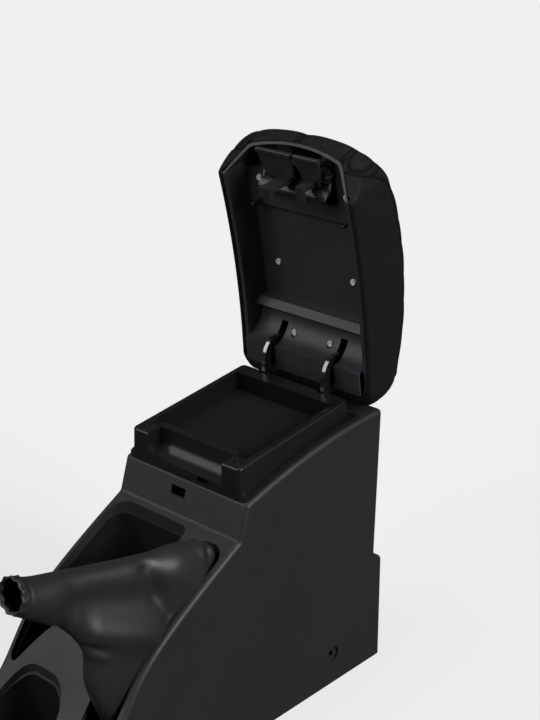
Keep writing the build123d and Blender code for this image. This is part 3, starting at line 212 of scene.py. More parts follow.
# Moulded grain: rounded cells of about the given density with a finer noise on top.
def buildGrain():
    group, i, o = makeGroup("mouldGrain", [("Vector", "NodeSocketVector", None),
                                           ("Density", "NodeSocketFloat", 900.0)], ["Height", "Fleck"])
    v = scaled(group, i["Vector"], i["Density"])
    cells = cellNode(group, v, 1.0, "SMOOTH_F1")
    bead = mathNode(group, "SUBTRACT", 1.0, cells["Distance"])
    fine = noise(group, v, grainShape["fine"])
    link(group, multiplyAdd(group, fine, grainShape["fineShare"], bead), o["Height"])
    flecks = noise(group, v, grainShape["fleck"], detail=1.0)
    link(group, remap(group, flecks, *grainShape["fleckRange"]), o["Fleck"])
    return group


hideShape = {"warpScale": 0.9, "warp": 0.7, "vein": 0.22, "fine": 2.1, "fineShare": 0.4}


# Hide grain: veined cells, a warped distance to the cell edge.
def buildHide():
    group, i, o = makeGroup("hideGrain", [("Vector", "NodeSocketVector", None),
                                          ("Density", "NodeSocketFloat", 650.0)], ["Height", "Pore"])
    v = scaled(group, i["Vector"], i["Density"])
    warp = group.nodes.new("ShaderNodeTexNoise")
    link(group, v, warp.inputs["Vector"])
    warp.inputs["Scale"].default_value = hideShape["warpScale"]
    mixed = group.nodes.new("ShaderNodeVectorMath")
    mixed.operation = "MULTIPLY_ADD"
    link(group, warp.outputs["Color"], mixed.inputs[0])
    mixed.inputs[1].default_value = (hideShape["warp"],) * 3
    link(group, v, mixed.inputs[2])
    cells = cellNode(group, mixed.outputs[0], 1.0, "DISTANCE_TO_EDGE")
    edge = remap(group, cells["Distance"], 0.0, hideShape["vein"], smooth=True)
    fine = noise(group, v, hideShape["fine"])
    link(group, multiplyAdd(group, fine, hideShape["fineShare"], edge), o["Height"])
    link(group, mathNode(group, "SUBTRACT", 1.0, edge), o["Pore"])
    return group


slowShape = {"tone": 7.0, "smudge": 23.0, "smudgeRough": 0.62, "smudgeRange": (0.52, 0.78), "spots": 190.0,
             "spotEdge": (0.06, 0.11), "spotsLeftOut": 0.8}


# Slow change over a surface: wide soft noise, a handling mask of sparse smudges, and a few dust spots.
def buildSlow():
    group, i, o = makeGroup("slowChange", [("Vector", "NodeSocketVector", None)], ["Tone", "Smudge", "Dust"])
    link(group, noise(group, i["Vector"], slowShape["tone"], detail=3.0), o["Tone"])
    patches = noise(group, i["Vector"], slowShape["smudge"], 4.0, slowShape["smudgeRough"])
    link(group, remap(group, patches, *slowShape["smudgeRange"], smooth=True), o["Smudge"])
    spots = cellNode(group, i["Vector"], slowShape["spots"])
    small = fallOff(group, spots["Distance"], *slowShape["spotEdge"])
    apart = group.nodes.new("ShaderNodeSeparateColor")
    link(group, spots["Color"], apart.inputs[0])
    chosen = mathNode(group, "GREATER_THAN", apart.outputs[0], slowShape["spotsLeftOut"])
    link(group, product(group, small, chosen), o["Dust"])
    return group


holeEdge = (0.10, 0.17)


# Perforation: round holes on a staggered square grid over two surface distances in metres.
def buildDots():
    group, i, o = makeGroup("perforation", [("Across", "NodeSocketFloat", 0.0),
                                            ("Along", "NodeSocketFloat", 0.0),
                                            ("Pitch", "NodeSocketFloat", 0.005)], ["Hole"])
    found = []
    for shift in (0.0, 0.5):
        squares = []
        for key in ("Across", "Along"):
            place = mathNode(group, "ADD", mathNode(group, "DIVIDE", i[key], i["Pitch"]), shift)
            off = mathNode(group, "SUBTRACT", mathNode(group, "FRACT", place), 0.5)
            squares.append(product(group, off, off))
        distance = mathNode(group, "SQRT", mathNode(group, "ADD", *squares))
        found.append(fallOff(group, distance, *holeEdge))
    link(group, mathNode(group, "MAXIMUM", *found), o["Hole"])
    return group


runShape = {"dash": (0.34, 0.42), "thread": (0.6, 1.2), "valley": (0.5, 4.0)}


# Sewn run: dashes along a line, from the distance across it and the distance along it.
def buildRun():
    group, i, o = makeGroup("sewnRun", [("Across", "NodeSocketFloat", 0.0), ("Along", "NodeSocketFloat", 0.0),
                                        ("Half width", "NodeSocketFloat", 0.0005),
                                        ("Pitch", "NodeSocketFloat", 0.005)], ["Thread", "Valley"])
    off = mathNode(group, "DIVIDE", mathNode(group, "ABSOLUTE", i["Across"]), i["Half width"])
    beat = mathNode(group, "FRACT", mathNode(group, "DIVIDE", i["Along"], i["Pitch"]))
    mid = mathNode(group, "ABSOLUTE", mathNode(group, "SUBTRACT", beat, 0.5))
    dash = fallOff(group, mid, *runShape["dash"])
    link(group, product(group, fallOff(group, off, *runShape["thread"]), dash), o["Thread"])
    link(group, fallOff(group, off, *runShape["valley"]), o["Valley"])
    return group


grain, hide, slow, dots, sewn = buildGrain(), buildHide(), buildSlow(), buildDots(), buildRun()
print("shader groups ready")


# New material with its tree, its surface node and the object coordinates.
def startMaterial(name, rough, metallic=0.0, coat=0.0, shine=0.5):
    mat = bpy.data.materials.new(name)
    mat.use_nodes = True
    tree = mat.node_tree
    surface = tree.nodes["Principled BSDF"]
    settings = {"Roughness": rough, "Metallic": metallic, "Coat Weight": coat, "Coat Roughness": 0.1,
                "Specular IOR Level": shine}
    for label, value in settings.items():
        surface.inputs[label].default_value = value
    coords = tree.nodes.new("ShaderNodeTexCoord")
    return mat, tree, surface, coords.outputs["Object"]


def useGroup(tree, group, **inputs):
    node = tree.nodes.new("ShaderNodeGroup")
    node.node_tree = group
    for key, value in inputs.items():
        feed(tree, value, node.inputs[key.replace("_", " ")])
    return node.outputs


# Mix of two colours, each a tuple or a socket.
def blendColour(tree, factor, a, b):
    node = tree.nodes.new("ShaderNodeMix")
    node.data_type = "RGBA"
    link(tree, factor, node.inputs["Factor"])
    for socket, value in ((node.inputs["A"], a), (node.inputs["B"], b)):
        if isinstance(value, tuple):
            socket.default_value = (*value, 1.0)
        else:
            link(tree, value, socket)
    return node.outputs["Result"]


def raised(tree, surface, height, strength, distance):
    node = tree.nodes.new("ShaderNodeBump")
    node.inputs["Strength"].default_value = strength
    node.inputs["Distance"].default_value = distance
    link(tree, height, node.inputs["Height"])
    link(tree, node.outputs["Normal"], surface.inputs["Normal"])


plasticWear = {"fleck": 0.25, "fleckRough": 0.06, "smudge": -0.08, "dust": (0.09, 0.09, 0.095),
               "depth": 0.0002}


# Moulded plastic: grain bump, slow tone, smudges that shine a little, sparse pale dust.
def plastic(name, dark, light, rough, density, bump, dusty=0.5, coat=0.0, shine=0.5):
    mat, tree, surface, where = startMaterial(name, rough, coat=coat, shine=shine)
    g = useGroup(tree, grain, Vector=where, Density=density)
    s = useGroup(tree, slow, Vector=where)
    tone = blendColour(tree, s["Tone"], dark, light)
    tone = blendColour(tree, product(tree, g["Fleck"], plasticWear["fleck"]), tone, light)
    tone = blendColour(tree, product(tree, s["Dust"], dusty), tone, plasticWear["dust"])
    link(tree, tone, surface.inputs["Base Color"])
    grainRough = multiplyAdd(tree, g["Fleck"], plasticWear["fleckRough"], rough)
    link(tree, multiplyAdd(tree, s["Smudge"], plasticWear["smudge"], grainRough), surface.inputs["Roughness"])
    raised(tree, surface, g["Height"], bump, plasticWear["depth"])
    return mat


metalWear = {"density": 1500.0, "stain": 0.72, "fleckRough": 0.18, "bump": 0.12, "depth": 0.0001}


# Metal: fine grain and stains of the same colour, darker.
def metal(name, colour, rough, metallic=1.0):
    mat, tree, surface, where = startMaterial(name, rough, metallic=metallic)
    g = useGroup(tree, grain, Vector=where, Density=metalWear["density"])
    s = useGroup(tree, slow, Vector=where)
    stained = tuple(c * metalWear["stain"] for c in colour)
    link(tree, blendColour(tree, s["Smudge"], colour, stained), surface.inputs["Base Color"])
    link(tree, multiplyAdd(tree, g["Fleck"], metalWear["fleckRough"], rough), surface.inputs["Roughness"])
    raised(tree, surface, g["Height"], metalWear["bump"], metalWear["depth"])
    return mat


feltLook = {"rough": 0.95, "shine": 0.15, "fibres": 700.0, "fibreRange": (0.35, 0.7),
            "dark": (0.005, 0.005, 0.0055), "light": (0.015, 0.015, 0.0165), "lint": (0.13, 0.13, 0.135),
            "lintShare": 0.7, "bump": 0.6, "depth": 0.0006}


# Felt: matted fibres, dark with pale lint specks.
def feltCloth(name):
    mat, tree, surface, where = startMaterial(name, feltLook["rough"], shine=feltLook["shine"])
    fibre = noise(tree, scaled(tree, where, feltLook["fibres"]), 1.0, 6.0, 0.7)
    s = useGroup(tree, slow, Vector=where)
    tone = blendColour(tree, remap(tree, fibre, *feltLook["fibreRange"]), feltLook["dark"], feltLook["light"])
    tone = blendColour(tree, product(tree, s["Dust"], feltLook["lintShare"]), tone, feltLook["lint"])
    link(tree, tone, surface.inputs["Base Color"])
    raised(tree, surface, fibre, feltLook["bump"], feltLook["depth"])
    return mat


plasticLooks = {
    "console_plastic": {"name": "consolePlastic", "dark": (0.0160, 0.0157, 0.0188),
                        "light": (0.0212, 0.0208, 0.0245), "rough": 0.48, "density": 1150.0, "bump": 0.32},
    "tray_plastic": {"name": "trayPlastic", "dark": (0.0058, 0.0058, 0.0067),
                     "light": (0.0088, 0.0088, 0.0100), "rough": 0.32, "density": 1250.0, "bump": 0.2,
                     "shine": 0.45},
    "liner_plastic": {"name": "linerPlastic", "dark": (0.0340, 0.0330, 0.0385),
                      "light": (0.0430, 0.0420, 0.0480), "rough": 0.40, "density": 1250.0, "bump": 0.2,
                      "shine": 0.4},
    "latch_plastic": {"name": "latchPlastic", "dark": (0.0180, 0.0176, 0.0200),
                      "light": (0.0240, 0.0236, 0.0265), "rough": 0.32, "density": 1500.0, "bump": 0.1},
    "panel_gloss": {"name": "panelGloss", "dark": (0.006, 0.006, 0.0066), "light": (0.009, 0.009, 0.0098),
                    "rough": 0.18, "density": 1800.0, "bump": 0.04, "dusty": 0.3, "coat": 0.3},
    "arm_gloss": {"name": "armGloss", "dark": (0.009, 0.009, 0.0098), "light": (0.013, 0.013, 0.014),
                  "rough": 0.16, "density": 1800.0, "bump": 0.04, "dusty": 0.3, "coat": 1.0, "shine": 0.8},
    "bush_plastic": {"name": "bushPlastic", "dark": (0.02, 0.02, 0.022), "light": (0.03, 0.03, 0.032),
                     "rough": 0.45, "density": 1400.0, "bump": 0.15},
    "peg_plastic": {"name": "pegPlastic", "dark": (0.012, 0.012, 0.013), "light": (0.018, 0.018, 0.019),
                    "rough": 0.18, "density": 1500.0, "bump": 0.06, "dusty": 0.3, "coat": 0.8},
    "bumper_rubber": {"name": "bumperRubber", "dark": (0.006, 0.006, 0.0066), "light": (0.010, 0.010, 0.011),
                      "rough": 0.24, "density": 1400.0, "bump": 0.05, "dusty": 0.2, "coat": 0.5},
}
finishes = {slotName: plastic(**look) for slotName, look in plasticLooks.items()}
finishes["felt"] = feltCloth("felt")
finishes["screw_zinc"] = metal("screwZinc", (0.96, 0.96, 0.97), 0.36, 0.15)
finishes["steel"] = metal("steel", (0.16, 0.16, 0.165), 0.34)

# The valley colour darkens the stitch and seam creases: painted shade.
padLook = {"rough": 0.46, "shine": 0.22, "density": 900.0, "dark": (0.0078, 0.0076, 0.0088),
           "light": (0.0112, 0.0110, 0.0124), "pore": (0.003, 0.003, 0.0034), "hole": (0.003, 0.003, 0.003),
           "valley": (0.0012, 0.0012, 0.0014), "thread": (0.004, 0.004, 0.0045), "holePitch": 0.0058,
           "bump": 0.9, "depth": 0.0012}
# How far each mask changes the colour, the roughness and the height of the pad.
padMasks = {"poreTone": 0.35, "holeTone": 0.85, "valleyShade": 0.9, "baseRough": 0.44, "valleyRough": 0.4,
            "poreRough": 0.1, "smudgeRough": -0.05, "grainHeight": 0.12, "holeHeight": -0.7,
            "valleyHeight": -1.0, "threadHeight": 0.8}
# Twin stitch rows: half their distance as a share of the cell, the cell, the thread and the stitch pitch.
twinRows = {"apart": 0.062, "cell": 0.052, "threadHalf": 0.0007, "pitch": 0.0040}
seamRow = {"threadHalf": 0.0006, "pitch": 0.006}


# Quilted, perforated leatherette: side panels carry fine holes, the back panel crossing twin stitch rows.
def padLeather(name):
    mat, tree, surface, where = startMaterial(name, padLook["rough"], shine=padLook["shine"])
    h = useGroup(tree, hide, Vector=where, Density=padLook["density"])
    s = useGroup(tree, slow, Vector=where)
    uv = tree.nodes.new("ShaderNodeUVMap")
    split = tree.nodes.new("ShaderNodeSeparateXYZ")
    link(tree, uv.outputs["UV"], split.inputs[0])

    def stored(key):
        node = tree.nodes.new("ShaderNodeAttribute")
        node.attribute_name = key
        return node.outputs["Fac"]

    fromSeam = stored("panel")
    a, b = stored("quiltA"), stored("quiltB")
    quilted = remap(tree, fromSeam, -0.001, 0.001)
    threads, valleys = [], []
    for line, other in ((a, b), (b, a)):
        cell = mathNode(tree, "SUBTRACT", mathNode(tree, "FRACT", mathNode(tree, "ADD", line, 0.5)), 0.5)
        pair = mathNode(tree, "SUBTRACT", mathNode(tree, "ABSOLUTE", cell), twinRows["apart"])
        run = useGroup(tree, sewn, Across=product(tree, pair, twinRows["cell"]),
                       Along=product(tree, other, twinRows["cell"]),
                       Half_width=twinRows["threadHalf"], Pitch=twinRows["pitch"])
        threads.append(run["Thread"])
        valleys.append(run["Valley"])
    thread = product(tree, mathNode(tree, "MAXIMUM", *threads), quilted)
    quiltValley = product(tree, mathNode(tree, "MAXIMUM", *valleys), quilted)
    seam = useGroup(tree, sewn, Across=fromSeam, Along=stored("along"),
                    Half_width=seamRow["threadHalf"], Pitch=seamRow["pitch"])
    valley = mathNode(tree, "MAXIMUM", quiltValley, seam["Valley"])
    holes = useGroup(tree, dots, Across=split.outputs[0], Along=split.outputs[1], Pitch=padLook["holePitch"])
    plain = mathNode(tree, "SUBTRACT", 1.0, quilted)
    hole = product(tree, holes["Hole"], product(tree, remap(tree, stored("wall"), 0.2, 0.8), plain))
    tone = blendColour(tree, s["Tone"], padLook["dark"], padLook["light"])
    tone = blendColour(tree, product(tree, h["Pore"], padMasks["poreTone"]), tone, padLook["pore"])
    tone = blendColour(tree, product(tree, hole, padMasks["holeTone"]), tone, padLook["hole"])
    # Painted shade: the stitch and seam valleys are darkened in colour as well as sunk by the bump.
    tone = blendColour(tree, product(tree, valley, padMasks["valleyShade"]), tone, padLook["valley"])
    tone = blendColour(tree, thread, tone, padLook["thread"])
    link(tree, tone, surface.inputs["Base Color"])
    rough = multiplyAdd(tree, valley, padMasks["valleyRough"], padMasks["baseRough"])
    rough = multiplyAdd(tree, h["Pore"], padMasks["poreRough"], rough)
    link(tree, multiplyAdd(tree, s["Smudge"], padMasks["smudgeRough"], rough), surface.inputs["Roughness"])
    height = product(tree, h["Height"], padMasks["grainHeight"])
    height = multiplyAdd(tree, hole, padMasks["holeHeight"], height)
    height = multiplyAdd(tree, valley, padMasks["valleyHeight"], height)
    height = multiplyAdd(tree, thread, padMasks["threadHeight"], height)
    raised(tree, surface, height, padLook["bump"], padLook["depth"])
    return mat


bootLook = {"rough": 0.36, "shine": 0.75, "density": 1000.0, "dark": (0.0150, 0.0153, 0.0176),
            "light": (0.0215, 0.0218, 0.0248), "pore": (0.010, 0.010, 0.011), "poreTone": 0.3,
            "poreRough": 0.12, "bump": 0.22, "depth": 0.0003}


# Soft leatherette of the boot: hide grain with a broad sheen.
def bootLeather(name):
    mat, tree, surface, where = startMaterial(name, bootLook["rough"], shine=bootLook["shine"])
    h = useGroup(tree, hide, Vector=where, Density=bootLook["density"])
    s = useGroup(tree, slow, Vector=where)
    tone = blendColour(tree, s["Tone"], bootLook["dark"], bootLook["light"])
    tone = blendColour(tree, product(tree, h["Pore"], bootLook["poreTone"]), tone, bootLook["pore"])
    link(tree, tone, surface.inputs["Base Color"])
    rough = multiplyAdd(tree, h["Pore"], bootLook["poreRough"], bootLook["rough"])
    link(tree, rough, surface.inputs["Roughness"])
    raised(tree, surface, h["Height"], bootLook["bump"], bootLook["depth"])
    return mat


finishes["pad_leather"] = padLeather("padLeather")
finishes["boot_leather"] = bootLeather("bootLeather")

# The tubs under the openings get a darker copy of their slot's plastic: painted shade for the shadow deep
# inside them.
tubs = ("pocket_liner", "cup_holder", "storage_bin")
tubShadeLook = {"name": "tubShadePlastic", "dark": (0.0052, 0.0052, 0.006), "light": (0.0085, 0.0085, 0.0095),
           "rough": 0.5, "density": 1150.0, "bump": 0.2, "dusty": 0.6, "shine": 0.3}
tubShadePlastic = plastic(**tubShadeLook)
for part in frame["record"]["subparts"]:
    materials = nodes[part["node"]].data.materials
    materials.clear()
    materials.append(tubShadePlastic if part["node"] in tubs else finishes[part["material_slot"]])
print("materials ready", len(finishes))

# The quilted pad, in lid millimetres: x across, u up the lid, v out of its back.
pad = {
    "halfWidth": 106.8, "rear": -13.0, "nose": 303.0, "arch": 15.0, "noseCorner": 46.0, "rearCorner": 20.0,
    "around": 340, "arcPoints": 60, "wallRows": 56, "topRows": 30, "crown": 5.0, "crownWidth": 88,
    "spine": (74, 222),
    "backAlong": (14, 95, 165, 245, 284), "backHeights": (72, 94, 98.5, 86, 68.5),
    "rimBend": 253, "rimBow": 7, "noseSlope": 0.75,
    "rimCorners": [(90.5, 0.0), (96.2, 2.3), (98.5, 8.0), (98.5, 253), (72, 287), (48, 292), (24, 295)],
    "rimTip": 296, "rimFarthest": 60.0, "rimSlack": 0.03,
    "seamU": 287.0, "seamLean": 0.42, "seamDrop": 11, "seamRound": 7,
    "quilt": 74.0, "sway": 0.10, "topInset": (-19.3, -19, -19.3), "cover": 3.0,
    # The hem: offset from the liner's rim and height of its tucked edge and of its bend; then its face,
    # a share of the way back out, less far at the rear, sunk at the sides, nose and rear.
    "hemTuck": ((0.2, 7), (0.5, 0.3)), "hemShare": 0.6, "hemRear": 3.0, "hemSink": (2.2, 0.8, 1.0),
    # Each wall ring: its offset at the sides, nose and rear; then its share of the wall's height at the sides
    # with what is added to it, and its height at the nose and at the rear.
    "wallRings": [((-0.8, -1.8, 3.5), (0, 1.2, 38.3, 1.5)),
                  ((0.3, -0.5, 7.0), (0, 8, 41.5, 8)),
                  ((-0.5, 0, 8.0), (0.45, 0, 45.5, 20)),
                  ((-3.0, -1.6, 6.0), (1, -15, 51.5, 34)),
                  ((-8.0, -7, -5), (1, -4.5, 59.5, 54))],
}


# Plan outline of the pad at even spacing: straight runs and corner arcs, resampled by length.
def padOutline(count):
    w, rear, nose = pad["halfWidth"], pad["rear"], pad["nose"]
    rn, rr = pad["noseCorner"], pad["rearCorner"]

    def arc(cx, cu, r, a0, a1):
        a = np.radians(np.linspace(a0, a1, pad["arcPoints"]))
        return np.stack([cx + r * np.cos(a), cu + r * np.sin(a)], axis=-1)

    big = (w ** 2 + pad["arch"] ** 2) / (2 * pad["arch"])
    rise = math.sqrt((big - rn) ** 2 - (w - rn) ** 2)
    bend = math.degrees(math.atan2(rise, w - rn))
    cu = nose - big
    line = np.concatenate([[[0, rear]], arc(w - rr, rear + rr, rr, -90, 0),
                           arc(w - rn, cu + rise, rn, 0, bend), arc(0, cu, big, bend, 180 - bend),
                           arc(rn - w, cu + rise, rn, 180 - bend, 180),
                           arc(rr - w, rear + rr, rr, 180, 270), [[0, rear]]])
    length = np.concatenate([[0], np.cumsum(np.linalg.norm(np.diff(line, axis=0), axis=1))])
    at = np.arange(count) / count * length[-1]
    x, u = np.interp(at, length, line[:, 0]), np.interp(at, length, line[:, 1])
    dx, du = np.roll(x, -1) - np.roll(x, 1), np.roll(u, -1) - np.roll(u, 1)
    size = np.hypot(dx, du)
    return x, u, du / size, -dx / size, at


# Height of the hem face above the rim plane: a shallow parabola, then the slope at the nose.
def rimHeight(u):
    bend = pad["rimBend"]
    bow = pad["rimBow"] * (1 - (2 * u / bend - 1) ** 2) * (u >= 0)
    return np.where(u <= bend, bow, (u - bend) * pad["noseSlope"])


# Distance from an outline point, straight inwards, to the liner's rim polygon.
def toRim(x, u, nx, nu):
    half = pad["rimCorners"]
    corners = np.array(half + [(0, pad["rimTip"])] + [(-a, b) for a, b in reversed(half)], dtype=float)
    best = np.full(len(x), pad["rimFarthest"])
    for p, q in zip(corners, np.roll(corners, -1, axis=0)):
        ex, eu = q - p
        det = nx * eu - nu * ex
        det = np.where(np.abs(det) < tiny, tiny, det)
        t = ((x - p[0]) * eu - (u - p[1]) * ex) / det
        s = ((u - p[1]) * nx - (x - p[0]) * nu) / det
        hit = (t > 0) & (s > -pad["rimSlack"]) & (s < 1 + pad["rimSlack"])
        best = np.where(hit & (t < best), t, best)
    return best


backFit = np.polyfit(pad["backAlong"], pad["backHeights"], 4)


# Height of the pad's back over its plan: a fitted profile along the lid less a crown across it.
def backHeight(x, u):
    return np.polyval(backFit, u) - pad["crown"] * (x / pad["crownWidth"]) ** 2


x0, u0, nx, nu, perimeter = padOutline(pad["around"])
ws, wf, wr = nx ** 2, np.maximum(nu, 0) ** 2, np.maximum(-nu, 0) ** 2


# A value for the sides, one for the nose and one for the rear, mixed by the way the outline faces.
def byFacing(side, nose, rear):
    return side * ws + nose * wf + rear * wr


# One control ring of the pad: the outline moved in or out, at a height.
def padRing(d, v):
    return np.stack([x0 + nx * d, u0 + nu * d, v], axis=-1)


reach = toRim(x0, u0, nx, nu)
dTop = byFacing(*pad["topInset"])
xTop, uTop = x0 + nx * dTop, u0 + nu * dTop
vTop = backHeight(xTop, uTop)
rimIn = rimHeight(u0 - nu * reach)
rimSide = rimHeight(u0)
rings = [padRing(offset - reach, rimIn + height) for offset, height in pad["hemTuck"]]
hemReach = pad["hemShare"] * reach
hemHeight = rimHeight(u0 - nu * hemReach) - byFacing(*pad["hemSink"])
rings.append(padRing(-hemReach * (1 - wr) - pad["hemRear"] * wr, hemHeight))
for offsets, (share, added, noseHeight, rearHeight) in pad["wallRings"]:
    sideHeight = rimSide + share * (vTop - rimSide) + added
    rings.append(padRing(byFacing(*offsets), byFacing(sideHeight, noseHeight, rearHeight)))
rings.append(padRing(dTop, vTop))
spine = np.clip(uTop, *pad["spine"])
tops = []
for k in range(1, pad["topRows"] + 1):
    r = k / pad["topRows"]
    xk, uk = xTop * (1 - r), uTop + (spine - uTop) * r
    tops.append(np.stack([xk, uk, backHeight(xk, uk)], axis=-1))
tops = np.array(tops)
wall = throughPoints(np.concatenate([np.array(rings), tops[2:3]]), pad["wallRows"])
cut = int(round((len(rings) - 1) / len(rings) * (len(wall) - 1)))
padGrid = np.concatenate([wall[:cut + 1], tops[1:]])

# The quilted panel starts at the seam: distance past it, rounded where the nose seam meets the side seams.
x, u, v = padGrid[..., 0], padGrid[..., 1], padGrid[..., 2]
pastNose, pastSide = u - (pad["seamU"] - pad["seamLean"] * v), v - (vTop - pad["seamDrop"])
panel = pad["seamRound"] * np.logaddexp(pastNose / pad["seamRound"], pastSide / pad["seamRound"])
diagA, diagB = (x + u) / pad["quilt"], (x - u) / pad["quilt"]
quiltA = diagA + pad["sway"] * np.sin(2 * np.pi * diagB)
quiltB = diagB + pad["sway"] * np.sin(2 * np.pi * diagA)

# Relief of the cover in millimetres; most pairs fade a form in or out, up the wall or past the seam.
relief = {
    "freeFrom": (0.30, 0.42), "puff": 2.2, "puffMiddle": 0.55, "puffFrom": (1, 9), "seam": 1.3,
    "seamWidth": 2.2, "slack": 0.6, "slackFrom": (0.42, 0.6), "slackTo": (-12, -2),
    "slackWaves": (31, 17), "slackShift": 0.6,
    "gather": 0.5, "gatherFrom": (0.16, 0.24), "gatherTo": (0.36, 0.5), "gatherWaves": (3.4, 11),
    "holesFrom": (0.36, 0.46), "seamHold": 3, "stitchHold": 0.05,
}
upWall = np.arange(len(padGrid))[:, None] / cut
free = ramp(upWall, *relief["freeFrom"])
# The quilt's cells puff out and the seam sinks in.
puff = np.sqrt(np.abs(np.sin(np.pi * quiltA) * np.sin(np.pi * quiltB)))
lift = relief["puff"] * (puff - relief["puffMiddle"]) * ramp(panel, *relief["puffFrom"]) * free
lift -= relief["seam"] * np.exp(-(panel / relief["seamWidth"]) ** 2) * free
# Slack cover over the foam of the side walls.
alongWave, upWave = relief["slackWaves"]
slack = ramp(upWall, *relief["slackFrom"]) * (1 - ramp(panel, *relief["slackTo"]))
lift += slack * relief["slack"] * np.sin(u / alongWave + relief["slackShift"]) * np.sin(v / upWave)
# Small folds in the rear hem.
shortWave, longWave = relief["gatherWaves"]
gather = (1 - ramp(upWall, *relief["gatherTo"])) * ramp(upWall, *relief["gatherFrom"]) * wr
lift += gather * relief["gather"] * np.sin(x / shortWave) * np.cos(x / longWave)
padGrid = padGrid + gridNormals(padGrid) * lift[..., None]

padCloth = {"step": 2, "pressure": 4.0, "frames": 20, "cap": 5.0, "middle": (0, 140, 5), "quality": 5,
            "mass": 0.3, "stiffness": 15, "bending": 0.5, "pinLevels": (0.25, 0.5, 0.75, 1.0),
            "pinMargin": 0.125}


# Cover pressed out by its foam: a coarse copy of the grid runs as cloth, held where it is sewn,
# and its capped travel is spread back over the fine grid by straight interpolation.
def pressOut(grid, hold):
    step, middle = padCloth["step"], np.array(padCloth["middle"])
    rows = np.append(np.arange(0, len(grid) - 1, step), len(grid) - 1)
    coarse, weight = grid[rows][:, ::step], hold[rows][:, ::step]
    cloth = gridMesh("padCloth", (coarse - middle) / 1000, None, {"hold": weight}, weldGap)
    if np.mean([face.normal.dot(face.center) for face in cloth.data.polygons]) < 0:
        cloth.data.flip_normals()
    count = len(cloth.data.vertices)
    rest, pins = np.empty(count * 3, dtype=np.float32), np.empty(count, dtype=np.float32)
    cloth.data.vertices.foreach_get("co", rest)
    cloth.data.attributes["hold"].data.foreach_get("value", pins)
    group = cloth.vertex_groups.new(name="sewn")
    for level in padCloth["pinLevels"]:
        group.add(np.flatnonzero(pins > level - padCloth["pinMargin"]).tolist(), level, "REPLACE")
    mod = cloth.modifiers.new("foam", "CLOTH")
    mod.settings.quality = padCloth["quality"]
    mod.settings.mass = padCloth["mass"]
    mod.settings.tension_stiffness = padCloth["stiffness"]
    mod.settings.compression_stiffness = padCloth["stiffness"]
    mod.settings.bending_stiffness = padCloth["bending"]
    mod.settings.vertex_group_mass = "sewn"
    mod.settings.use_pressure = True
    mod.settings.uniform_pressure_force = padCloth["pressure"]
    mod.settings.effector_weights.gravity = 0
    mod.point_cache.frame_end = padCloth["frames"]
    for now in range(1, padCloth["frames"] + 1):
        bpy.context.scene.frame_set(now)
    ready = cloth.evaluated_get(bpy.context.evaluated_depsgraph_get())
    after = np.empty(count * 3, dtype=np.float32)
    ready.data.vertices.foreach_get("co", after)
    rest, after = rest.reshape(-1, 3) * 1000 + middle, after.reshape(-1, 3) * 1000 + middle
    travel = np.nan_to_num(after - rest)
    size = np.linalg.norm(travel, axis=-1, keepdims=True)
    travel *= np.minimum(1, padCloth["cap"] / np.maximum(size, 1e-6))
    nearest = np.array([np.argmin(((rest[None] - row[:, None]) ** 2).sum(-1), axis=1) for row in coarse])
    move = travel[nearest]
    bpy.data.objects.remove(cloth)
    bpy.context.scene.frame_set(1)
    r, c = np.interp(np.arange(len(grid)), rows, np.arange(len(rows))), np.arange(grid.shape[1]) / step
    r0, c0 = np.minimum(r.astype(int), len(move) - 1), c.astype(int)
    r1, c1 = np.minimum(r0 + 1, len(move) - 1), (c0 + 1) % move.shape[1]
    fr, fc = (r - r0)[:, None, None], (c - c0)[None, :, None]
    low = move[r0][:, c0] * (1 - fc) + move[r0][:, c1] * fc
    high = move[r1][:, c0] * (1 - fc) + move[r1][:, c1] * fc
    most, usual = round(float(size.max()), 2), round(float(np.median(size)), 2)
    print("foam pressed the cover out by up to", most, "mm, middle", usual)
    return grid + low * (1 - fr) + high * fr


toStitch = np.minimum(np.abs(quiltA - np.round(quiltA)), np.abs(quiltB - np.round(quiltB)))
bySeam = np.exp(-(panel / relief["seamHold"]) ** 2)
byStitch = np.exp(-(toStitch / relief["stitchHold"]) ** 2) * (panel > 0)
padGrid = pressOut(padGrid, np.maximum(np.maximum(bySeam, byStitch), 1 - free))
rowSteps = np.cumsum(np.linalg.norm(np.diff(padGrid, axis=0), axis=-1), axis=0)
steps = np.concatenate([np.zeros((1, padGrid.shape[1])), rowSteps])
padUv = np.stack([np.broadcast_to(perimeter, steps.shape), steps], axis=-1) * mm
padValues = {"panel": panel * mm, "quiltA": quiltA, "quiltB": quiltB, "along": (u - v) * mm,
             "wall": np.broadcast_to(ramp(upWall, *relief["holesFrom"]), steps.shape)}
padObj = gridMesh("quiltedPad", lidToFrame(padGrid), padUv, padValues, weldGap)
print("pad", len(padObj.data.vertices))

